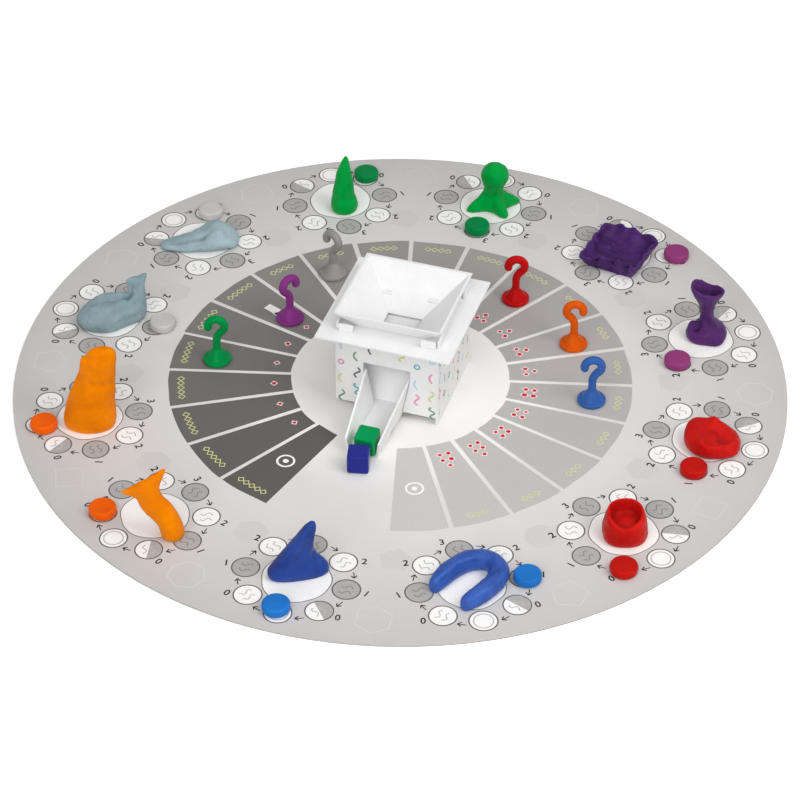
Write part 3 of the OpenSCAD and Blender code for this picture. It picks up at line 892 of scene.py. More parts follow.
@dataclass(frozen=True)
class Spot:
    """A spot on the ring, its digit, and the direction in which the digit stands beside it."""

    fill: SpotInk
    digit: int | None = None
    aside: float = 0.0


@dataclass(frozen=True)
class FaintShape:
    """A faint polygon that stands between each two clay places, turned further each time."""

    reach: float
    aside: float
    radius: float
    fewest: int
    kinds: int
    turn: float

    def sides(self, number: int) -> int:
        """Gives the number of sides that the shape has after one of the places."""
        return self.fewest + number % self.kinds


@dataclass
class PlayBoard:
    """The round board with its track, its clay places and their rings of spots."""

    radius: float = 0.290
    top: float = 0.002
    ink_level: float = 0.000008
    white: Colour = srgb(246, 245, 243)
    black: Colour = srgb(44, 43, 42)
    tones: tuple[tuple[float, Colour], ...] = (
        (0.0, srgb(243, 242, 240)),
        (0.28, srgb(241, 240, 238)),
        (0.39, srgb(236, 234, 232)),
        (0.47, srgb(223, 221, 219)),
        (0.63, srgb(218, 215, 213)),
        (1.0, srgb(197, 194, 192)),
    )

    # The track; its dark and light ink are 8-bit screen colours
    track_inner: float = 0.0825
    track_outer: float = 0.1743
    track_start: float = -105.0
    field_sweep: float = 15.0
    field_count: int = 22
    line_half: float = 0.0016
    dark_field: Colour = (94, 90, 87)
    light_field: Colour = (201, 197, 195)
    field_bulge: float = 0.12

    # Lime marks at the fields' outer side, fewer towards the end of the track
    lime: Colour = srgb(212, 214, 150)
    lime_radius: float = 0.0030
    lime_line: float = 0.0010
    lime_inset: float = 0.0095
    lime_pitch: float = 0.0054
    lime_most: float = 5.4
    lime_loss: float = 3.0

    # Red marks at the inner side: one on the early fields, more on the later ones
    red: Colour = srgb(204, 40, 56)
    halo: Colour = srgb(246, 226, 224)
    red_radius: float = 0.0016
    red_waver: float = 0.4
    halo_radius: float = 0.0030
    halo_waver: float = 0.2
    red_inset: float = 0.0125
    red_pitch: float = 0.0066
    red_room: float = 0.016
    red_early: int = 8
    red_most: int = 5

    # Rings on the first and last field, and the arrow from its root to its tip and head
    goal_radius: float = 0.0070
    goal_line: float = 0.0016
    goal_dot: float = 0.0022
    arrow_field: int = 6
    arrow_reach: Place = (0.136, 0.122, 0.119)
    arrow_width: float = 0.0070
    arrow_head: float = 0.0085

    # Clay places with their spots
    place_count: int = 12
    clay_spot: float = 0.0241
    clay_line: float = 0.0007
    clay_sides: int = 72
    clay_waver: float = 0.07
    thin_line: Colour = srgb(114, 111, 108)
    ring_radius: float = 0.037
    spot_step: float = 45.0
    spot_radius: float = 0.0103
    spot_sides: int = 36
    spot_waver: float = 0.04
    spot_grey: Colour = srgb(174, 172, 170)
    half_lean: float = 5.0
    blank_share: float = 0.72
    outline: float = 0.0010
    line: Colour = srgb(96, 94, 92)
    spots: tuple[Spot, ...] = (
        Spot(SpotInk.BLANK),
        Spot(SpotInk.HALF, 0, 80),
        Spot(SpotInk.GREY, 1, 90),
        Spot(SpotInk.WHITE, 2, 110),
        Spot(SpotInk.GREY, 3, 225),
        Spot(SpotInk.WHITE, 2, 250),
        Spot(SpotInk.GREY, 1, 270),
        Spot(SpotInk.WHITE, 0, 280),
    )

    # Squiggles in the spots, arrows between them and digits beside them
    on_white: Colour = srgb(190, 188, 186)
    on_grey: Colour = srgb(136, 134, 132)
    squiggle_length: float = 0.0088
    squiggle_sweep: float = 7.0
    squiggle_sway: float = 0.0015
    squiggle_aside: float = 0.0028
    squiggle_line: float = 0.0009
    step_out: float = 0.0035
    step_arc: tuple[float, ...] = (4.6, 1.5, -1.5, -4.2)
    step_line: float = 0.0008
    barb_length: float = 0.0034
    barb_spread: float = 38.0
    barb_line: float = 0.0009
    digit_height: float = 0.0058
    digit_gap: float = 0.0042
    digit_swing: float = 14.0
    digit_beat: float = 2.4

    # Faint shapes between the places
    pale_fill: Colour = srgb(208, 205, 203)
    pale_line: Colour = srgb(214, 212, 210)
    filled: FaintShape = FaintShape(0.205, 2, 0.013, 5, 3, 25)
    hollow: FaintShape = FaintShape(0.266, -1, 0.014, 4, 4, 31)
    hollow_line: float = 0.0007

    def build(self, frame: dict) -> None:
        """Prints and dresses the board.

        Args:
            frame: The loaded frame.
        """
        sheet = SheetFinish("board_print", self.tones, self.radius)
        dress(frame, sheet.material(), "board_top_sheet")
        dress(frame, CORE.material(), "board_core")
        dress(frame, BACK.material(), "board_back_sheet")
        ink = BOARD_INK.material()
        self._print_track().finish("track_print", "board", "board_print", ink)
        self._print_field_marks().finish("field_mark_print", "board", "board_print", ink)
        self._print_places().finish("place_print", "board", "board_print", ink)
        self._print_backdrop().finish("backdrop_print", "board", "board_print", ink)

    def _layer(self, number: int) -> Print:
        """Starts an empty print on a layer over the board's top."""
        return Print(Matrix.Translation((0, 0, self.top + number * self.ink_level)))

    def _field_middle(self, index: int) -> float:
        """Gives the middle angle of a field, counted clockwise from the start."""
        return self.track_start - self.field_sweep * (index + 0.5)

    def _share(self, index: int) -> float:
        """Gives a field's share of the way from the first field to the last."""
        return index / (self.field_count - 1)

    def _field_tone(self, index: int) -> Colour:
        """Gives a field's ink, from dark at the start to light at the end.

        Args:
            index: Field number from 0.

        Returns:
            Linear colour.
        """
        share = self._share(index)
        share += self.field_bulge * math.sin(math.pi * share) ** 2
        ends = zip(self.dark_field, self.light_field)
        return srgb(*(round(dark + (light - dark) * share) for dark, light in ends))

    def _print_track(self) -> Print:
        """Prints the track's fields.

        Returns:
            The print.
        """
        sheet = self._layer(1)
        for index in range(self.field_count):
            sheet.field(
                self.track_inner,
                self.track_outer,
                self._field_middle(index),
                self.field_sweep,
                self.line_half,
                self._field_tone(index),
            )
        return sheet

    def _red_count(self, index: int) -> int:
        """Gives the number of red marks on a field.

        Args:
            index: Field number from 0.

        Returns:
            The number.
        """
        if index < self.red_early:
            return 1
        late = self.field_count - 1 - self.red_early
        return round(1 + (self.red_most - 1) * (index - self.red_early + 1) / late)

    def _print_field_marks(self) -> Print:
        """Prints plain marks on the fields: lime at the rim side, red at the inner side.

        Returns:
            The print.
        """
        sheet = self._layer(2)
        last = self.field_count - 1
        rim_row = self.track_outer - self.lime_inset
        hub_row = self.track_inner + self.red_inset
        for index in range(self.field_count):
            middle = self._field_middle(index)
            if index != last:
                count = round(self.lime_most - self.lime_loss * self._share(index))
                for at, turn in self._row(middle, count, rim_row, self.lime_pitch):
                    sheet.ring(at, self.lime_radius, self.lime_line, self.lime, sides=4, turn=turn)
            if index not in (0, last):
                count = self._red_count(index)
                for at, turn in self._row(middle, count, hub_row, self.red_pitch, self.red_room):
                    self._print_red(sheet, at, turn)
        self._way_marks(sheet)
        return sheet

    def _print_red(self, sheet: Print, at: Vector, turn: float) -> None:
        """Prints a red mark on its pale halo."""
        sheet.disc(at, self.halo_radius, self.halo, sides=4, wobble=self.halo_waver, turn=turn)
        sheet.disc(at, self.red_radius, self.red, self.ink_level, sides=14, wobble=self.red_waver)

    @staticmethod
    def _row(
        middle: float, count: int, radius: float, pitch: float, room: float = math.inf
    ) -> Iterator[tuple[Vector, float]]:
        """Lays out marks in a short curved row, or in rows of two where they are many.

        Args:
            middle: Middle angle of the row in degrees.
            count: Number of marks.
            radius: Distance from the board's middle.
            pitch: Distance between marks.
            room: Longest single row.

        Yields:
            The middle of each mark and its direction in degrees.
        """
        per_row = 2 if pitch * count > room else count
        for number in range(count):
            row, column = divmod(number, per_row)
            in_row = min(per_row, count - row * per_row)
            reach = radius + row * pitch
            angle = middle + math.degrees((column - (in_row - 1) / 2) * pitch / reach)
            yield polar(reach, angle), angle

    def _way_marks(self, sheet: Print) -> None:
        """Prints a ring on the first and the last field and an arrow on one between them.

        Args:
            sheet: Print to add to.
        """
        for index in (0, self.field_count - 1):
            at = polar((self.track_inner + self.track_outer) / 2, self._field_middle(index))
            sheet.ring(at, self.goal_radius, self.goal_line, self.white, sides=32)
            sheet.disc(at, self.goal_dot, self.white, sides=20)
        middle = self._field_middle(self.arrow_field)
        *shaft, head = (polar(radius, middle) for radius in self.arrow_reach)
        sheet.stroke(shaft, self.arrow_width, self.white)
        sheet.disc(head, self.arrow_head, self.white, sides=3, turn=middle + 180)

    def _print_places(self) -> Print:
        """Prints the clay places with their rings of spots, arrows and digits.

        Returns:
            The print.
        """
        sheet = self._layer(1)
        for number in range(self.place_count):
            outward = place_angle(number)
            middle = polar(PLACE_RADIUS, outward)
            edge = self.clay_spot + self.clay_line
            look = (self.clay_sides, self.clay_waver)
            sheet.disc(middle, edge, self.thin_line, 0, *look)
            sheet.disc(middle, self.clay_spot, self.white, self.ink_level, *look)
            for index, spot in enumerate(self.spots):
                self._print_spot(sheet, middle, outward + self.spot_step * index, spot.fill)
                if spot.digit is not None:
                    self._print_digit(sheet, middle, outward, index, spot)
        return sheet

    def _print_spot(self, sheet: Print, middle: Vector, angle: float, fill: SpotInk) -> None:
        """Prints one spot with its outline and the arrow that leads on.

        Args:
            sheet: Print to add to.
            middle: Middle of the clay place.
            angle: Direction of the spot from there in degrees.
            fill: How the spot is filled.
        """
        step = self.ink_level
        at = middle + polar(self.ring_radius, angle)
        inside = self.spot_radius - self.outline
        ground = self.spot_grey if fill is SpotInk.GREY else self.white
        look = (self.spot_sides, self.spot_waver)
        sheet.disc(at, self.spot_radius, self.line, step, *look)
        sheet.disc(at, inside, ground, step * 2, *look)
        if fill is SpotInk.HALF:
            sheet.half_disc(at, inside, self.spot_grey, step * 2.5, angle - self.half_lean)
        if fill is SpotInk.BLANK:
            eye = self.spot_radius * self.blank_share
            sheet.ring(at, eye, self.outline, self.on_white, step * 3, self.spot_sides)
        else:
            ink = self.on_grey if fill is SpotInk.GREY else self.on_white
            self._print_squiggles(sheet, at, angle, ink)
        self._print_step(sheet, middle, angle - self.spot_step / 2)

    def _print_digit(
        self, sheet: Print, middle: Vector, outward: float, index: int, spot: Spot
    ) -> None:
        """Prints a spot's digit beside it, to be read from outside the board.

        Args:
            sheet: Print to add to.
            middle: Middle of the clay place.
            outward: Direction of the place from the board's middle in degrees.
            index: Number of the spot on its ring, from the outermost.
            spot: The spot.
        """
        beside = middle + polar(self.ring_radius, outward + self.spot_step * index)
        at = beside + polar(self.spot_radius + self.digit_gap, outward + spot.aside)
        turn = outward + 90 + self.digit_swing * math.sin(index * self.digit_beat)
        sheet.digit(spot.digit, at, self.digit_height, turn, self.black)

    def _print_squiggles(self, sheet: Print, at: Vector, angle: float, colour: Colour) -> None:
        """Prints two faint squiggles in a spot.

        Args:
            sheet: Print to add to.
            at: Middle of the spot.
            angle: Direction of the spot in degrees.
            colour: Ink.
        """
        for side in (-1, 1):
            middle = at + polar(side * self.squiggle_aside, angle - 90)
            line = wave(
                middle, angle, self.squiggle_length, self.squiggle_sweep, -self.squiggle_sway
            )
            sheet.stroke(line, self.squiggle_line, colour, self.ink_level * 3)

    def _print_step(self, sheet: Print, middle: Vector, angle: float) -> None:
        """Prints a small open arrow that points clockwise round a clay place.

        Args:
            sheet: Print to add to.
            middle: Middle of the clay place.
            angle: Direction of the arrow from there in degrees.
        """
        reach = self.ring_radius + self.step_out
        line = [middle + polar(reach, angle + off) for off in self.step_arc]
        sheet.stroke(line, self.step_line, self.black)
        tip = line[-1]
        for spread in (-self.barb_spread, self.barb_spread):
            barb = tip + polar(self.barb_length, angle + 90 + spread)
            sheet.stroke([tip, barb], self.barb_line, self.black, self.ink_level)

    def _print_backdrop(self) -> Print:
        """Prints faint outlined and filled shapes on the free parts of the board.

        Returns:
            The print.
        """
        sheet = self._layer(1)
        for number in range(self.place_count):
            angle = place_angle(number + 0.5)
            filled, hollow = self.filled, self.hollow
            sheet.disc(
                polar(filled.reach, angle + filled.aside),
                filled.radius,
                self.pale_fill,
                sides=filled.sides(number),
                turn=number * filled.turn,
            )
            sheet.ring(
                polar(hollow.reach, angle + hollow.aside),
                hollow.radius,
                self.hollow_line,
                self.pale_line,
                sides=hollow.sides(number),
                turn=number * hollow.turn,
            )
        return sheet


# The dice tower


class Speck(Enum):
    """A small printed shape on the tower's card: its half waves, length and sway, or a ring."""

    WAVE = (2, 0.0098, 0.0020)
    DASH = (1, 0.0072, 0.0002)
    BEND = (1, 0.0082, 0.0022)
    CURL = (3, 0.0102, 0.0019)
    RING = None


@dataclass
class DiceTower:
    """The slotted card tower with its small pastel print."""

    middle: Point = (0.004, -0.006)
    half: float = 0.0395
    height: float = 0.0685
    film: float = 0.00002
    flap: Place = (0.060, 0.0005, 0.0022)
    flap_at: Point = (0.0062, 0.0585)
    flap_edge: float = 0.0001
    card_nodes: tuple[str, ...] = (
        "tower_left_panel",
        "tower_right_panel",
        "tower_front_panel",
        "tower_back_panel",
        "tower_top_plate",
        "hopper_front_wall",
        "hopper_back_wall",
        "hopper_left_wall",
        "hopper_right_wall",
        "chute_right_wall",
    )
    # Ramp and chute parts, which take the paler card of painted light
    slide_nodes: tuple[str, ...] = ("drop_ramp", "chute_floor", "chute_left_wall")

    # Specks in staggered columns, clear of the doorway and of the top plate's shade
    seed: int = 47
    columns: int = 7
    rows: int = 4
    pitch: float = 0.0116
    lift: float = 0.006
    row_start: float = 0.3
    stagger: float = 0.5
    stray_across: float = 0.0005
    stray_up: float = 0.1
    lean: Point = (80, 100)
    top_margin: float = 0.007
    door_half: float = 0.0215
    door_height: float = 0.0525
    ink_step: int = 4
    kind_steps: tuple[int, int] = (3, 2)
    speck_line: float = 0.0015
    ring_radius: float = 0.0026
    ring_line: float = 0.0013
    inks: tuple[Colour, ...] = (
        srgb(128, 152, 140),
        srgb(212, 212, 140),
        srgb(226, 148, 180),
        srgb(184, 212, 224),
        srgb(104, 184, 184),
        srgb(110, 110, 110),
    )

    def build(self, frame: dict) -> None:
        """Dresses the card and prints the four faces of the box.

        Args:
            frame: The loaded frame.
        """
        card = CARD.material()
        dress(frame, card, *self.card_nodes)
        # The ramp and chute take the paler card: painted light in the chute's shade
        dress(frame, LIT_CARD.material(), *self.slide_nodes)
        self._fold_flap(card)
        ink = TOWER_INK.material()
        for number, side in enumerate(("front", "right", "back", "left")):
            sheet = self._print_face(number)
            sheet.finish(f"tower_{side}_print", "dice_tower", "white_card", ink)

    def _fold_flap(self, card: bpy.types.Material) -> None:
        """Adds the card flap that closes the gap between the ramp's top and the hopper.

        Args:
            card: Material of the card.
        """
        bm = bmesh.new()
        back, up = self.flap_at
        seat = Matrix.Translation((self.middle[0], self.middle[1] + back, LOOSE_BASE + up))
        bmesh.ops.create_cube(bm, size=1, matrix=seat @ Matrix.Diagonal((*self.flap, 1)))
        bmesh.ops.bevel(
            bm,
            geom=bm.edges,
            offset=self.flap_edge,
            affect="EDGES",
            segments=2,
            profile=0.5,
            material=-1,
        )
        add_piece("ramp_flap", to_mesh(bm, "ramp_flap"), "dice_tower", card)

    def _face_plane(self, number: int) -> Matrix:
        """Gives the plane of a box face, its X to the right and its Y up.

        Args:
            number: 0 front, 1 right, 2 back, 3 left.

        Returns:
            The plane, just clear of the card.
        """
        stand = Matrix.Translation((*self.middle, LOOSE_BASE)) @ turned(90 * number)
        out = Matrix.Translation((0, -self.half - self.film, 0))
        return stand @ (out @ Matrix.Rotation(math.pi / 2, 4, "X"))

    def _has_room(self, number: int, x: float, y: float) -> bool:
        """Says whether a speck has room on a face.

        Args:
            number: 0 front, 1 right, 2 back, 3 left.
            x: Place across the face.
            y: Place up the face.

        Returns:
            False near the top and, on the front, in or near the doorway.
        """
        in_door = number == 0 and abs(x) < self.door_half and y < self.door_height
        return y <= self.height - self.top_margin and not in_door

    def _print_face(self, number: int) -> Print:
        """Prints scattered specks on one face of the box.

        Args:
            number: 0 front, 1 right, 2 back, 3 left.

        Returns:
            The print.
        """
        sheet = Print(self._face_plane(number))
        dice = random.Random(self.seed + number)
        kinds = list(Speck)
        by_column, by_row = self.kind_steps
        for column in range(self.columns):
            for row in range(self.rows):
                x = (column - self.columns // 2) * self.pitch
                x += dice.uniform(-self.stray_across, self.stray_across)
                share = row + self.row_start + self.stagger * (column % 2)
                share = (share + dice.uniform(-self.stray_up, self.stray_up)) / self.rows
                y = self.lift + share * (self.height - self.lift)
                ink = self.inks[(self.ink_step * column + row + number) % len(self.inks)]
                kind = kinds[(by_column * column + by_row * row + number) % len(kinds)]
                turn = dice.uniform(*self.lean)
                if self._has_room(number, x, y):
                    self._print_speck(sheet, kind, Vector((x, y, 0)), turn, ink)
        return sheet

    def _print_speck(
        self, sheet: Print, kind: Speck, at: Vector, turn: float, ink: Colour
    ) -> None:
        """Prints one speck.

        Args:
            sheet: Print to add to.
            kind: Its shape.
            at: Its middle.
            turn: Its turn in degrees.
            ink: Its colour.
        """
        if kind is Speck.RING:
            sheet.ring(at, self.ring_radius, self.ring_line, ink, sides=24, turn=turn)
        else:
            waves, length, sway = kind.value
            sheet.stroke(wave(at, turn, length, waves * math.pi, sway), self.speck_line, ink)


# Moulded pieces


@dataclass
class MouldedPieces:
    """Dice, pawns and tokens, dressed by colour."""

    dice: tuple[str, ...] = ("green", "blue")
    players: tuple[str, ...] = ("green", "purple", "grey", "red", "orange", "blue")

    def build(self, frame: dict) -> None:
        """Dresses the moulded pieces.

        Args:
            frame: The loaded frame.
        """
        for colour in self.dice:
            dress(frame, DIE[colour].material(), f"{colour}_die")
        for colour in self.players:
            dress(frame, PAWN[colour].material(), f"{colour}_pawn")
            dress(frame, TOKEN[colour].material(), f"{colour}_token_a", f"{colour}_token_b")


# Clay


def fade(distance: float, radius: float) -> float:
    """Gives the share of a mark that is left at a distance from it."""
    away = distance / radius
    return math.exp(-away * away)


@dataclass(frozen=True)
class Dent:
    """A thumb mark: clay pushed in, or swollen where the depth is negative."""

    at: Place
    radius: float
    depth: float

    def move(self, point: Vector, normal: Vector) -> Vector:
        """Gives the skin's move at a point, along its outward normal."""
        return normal * (-self.depth * fade((point - Vector(self.at)).length, self.radius))


@dataclass(frozen=True)
class Crease:
    """A furrow along a line, or a ridge where the depth is negative."""

    line: tuple[Place, ...]
    radius: float
    depth: float

    def move(self, point: Vector, normal: Vector) -> Vector:
        """Gives the skin's move at a point, along its outward normal."""
        return normal * (-self.depth * fade(self._gap(point), self.radius))

    def _gap(self, point: Vector) -> float:
        """Gives the distance from a point to the line.

        Args:
            point: The point.

        Returns:
            Distance to the nearest straight piece of the line.
        """
        corners = [Vector(corner) for corner in self.line]
        gaps = []
        for start, end in zip(corners, corners[1:]):
            way = end - start
            share = max(0.0, min(1.0, (point - start).dot(way) / way.length_squared))
            gaps.append((point - start - way * share).length)
        return min(gaps)


@dataclass(frozen=True)
class Pull:
    """Clay drawn out or pressed down in one direction."""

    at: Place
    radius: float
    way: Place

    def move(self, point: Vector, _normal: Vector) -> Vector:
        """Gives the skin's move at a point, in the pull's own direction."""
        return Vector(self.way) * fade((point - Vector(self.at)).length, self.radius)


@dataclass
class ClayFigure:
    """A figure kneaded by hand from the lump that its CAD node gives.

    Its marks are in its own millimetres: to the right, away and up from the middle of its clay
    place, as seen by the camera.
    """

    node: str
    place: int
    marks: tuple[Dent | Crease | Pull, ...] = ()
    voxel: float = 0.0008
    view_turn: float = 17.8

    # Uneven pressure of palm and thumb and the clay's grain, all in millimetres
    wobble: float = 0.5
    thumb_share: float = 0.5
    grain: float = 0.1
    palm_scale: float = 0.085
    thumb_scale: float = 0.26
    grain_scale: float = 0.8
    foot: float = 3.0

    # For the painted shade in hollows and highlight on ridges: rounds of softening, the depth in
    # millimetres that counts as 1, and the most for a ridge
    rubs: tuple[tuple[int, float, float], ...] = ((16, 1.8, 0.5), (150, 6.0, 0.0))
    hollow_most: float = 0.5

    @property
    def colour(self) -> str:
        """The clay's colour, read from the node's name."""
        return self.node.split("_")[0]

    def build(self, frame: dict, clay: bpy.types.Material) -> None:
        """Kneads the figure and puts it in place of its node.

        Args:
            frame: The loaded frame.
            clay: Material of the clay.
        """
        mesh = self._lump(frame["nodes"][self.node])
        bm = bmesh.new()
        bm.from_mesh(mesh)
        soften(bm)
        self._knead(bm)
        soften(bm)
        for face in bm.faces:
            face.smooth = True
        # Stores hollows and ridges for the clay's painted shade and highlight
        self._rub(bm)
        bm.to_mesh(mesh)
        bm.free()
        piece = add_piece(f"{self.node}_clay", mesh, self.node, clay)
        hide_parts(self.node)

    def _lump(self, node: bpy.types.Object) -> bpy.types.Mesh:
        """Turns a copy of the node's mesh into an even skin of small faces.

        Args:
            node: The CAD node's object.

        Returns:
            The new mesh.
        """
        bm = bmesh.new()
        bm.from_mesh(node.data)
        bmesh.ops.remove_doubles(bm, verts=bm.verts, dist=1e-6)
        rough = to_mesh(bm, f"{self.node}_rough")
        holder = bpy.data.objects.new(f"{self.node}_rough", rough)
        bpy.context.scene.collection.objects.link(holder)
        remesh = holder.modifiers.new("skin", "REMESH")
        remesh.mode = "VOXEL"
        remesh.voxel_size = self.voxel
        graph = bpy.context.evaluated_depsgraph_get()
        mesh = bpy.data.meshes.new_from_object(holder.evaluated_get(graph))
        bpy.data.objects.remove(holder)
        bpy.data.meshes.remove(rough)
        return mesh

    def _press(self, own: Vector) -> float:
        """Gives a hand's uneven pressure at a point.

        Args:
            own: The point in the figure's own millimetres.

        Returns:
            How far the skin is pressed in, in millimetres.
        """
        palm = noise.noise(own * self.palm_scale + Vector((self.place, 0, 0)))
        thumb = noise.noise(own * self.thumb_scale + Vector((0, self.place, 0)))
        grain = noise.noise(own * self.grain_scale)
        hand = palm * self.wobble + thumb * self.wobble * self.thumb_share
        return hand + grain * self.grain

    def _knead(self, bm: bmesh.types.BMesh) -> None:
        """Moves the skin by the marks and by a hand's uneven pressure, less near its foot.

        Args:
            bm: The figure's skin, in place.
        """
        bm.normal_update()
        middle = polar(PLACE_RADIUS, place_angle(self.place)) + Vector((0, 0, LOOSE_BASE))
        home = Matrix.Translation(middle) @ turned(self.view_turn)
        to_own = home.inverted()
        spin = home.to_3x3()
        spin_back = spin.inverted()
        moves = []
        for vert in bm.verts:
            own = (to_own @ vert.co) / MM
            normal = spin_back @ vert.normal
            pressed = normal * -self._press(own)
            move = sum((mark.move(own, normal) for mark in self.marks), pressed)
            moves.append(spin @ move * (MM * min(1.0, max(0.0, own.z / self.foot))))
        for vert, move in zip(bm.verts, moves):
            vert.co += move
            vert.co.z = max(vert.co.z, LOOSE_BASE)

    def _rub(self, bm: bmesh.types.BMesh) -> None:
        """Stores on the skin where it is hollow and where it stands out, for the painted shade and
        highlight.

        Args:
            bm: The finished skin.
        """
        layer = bm.verts.layers.float.new("hollow_shade")
        bm.normal_update()
        soft = bm.copy()
        depths = [0.0] * len(bm.verts)
        for rounds, full, ridge_most in self.rubs:
            soften(soft, rounds)
            for index, (vert, even) in enumerate(zip(bm.verts, soft.verts)):
                hollow = (even.co - vert.co).dot(vert.normal) / (full * MM)
                depths[index] += max(-ridge_most, min(self.hollow_most, hollow))
        soft.free()
        for vert, depth in zip(bm.verts, depths):
            vert[layer] = 0.5 - depth


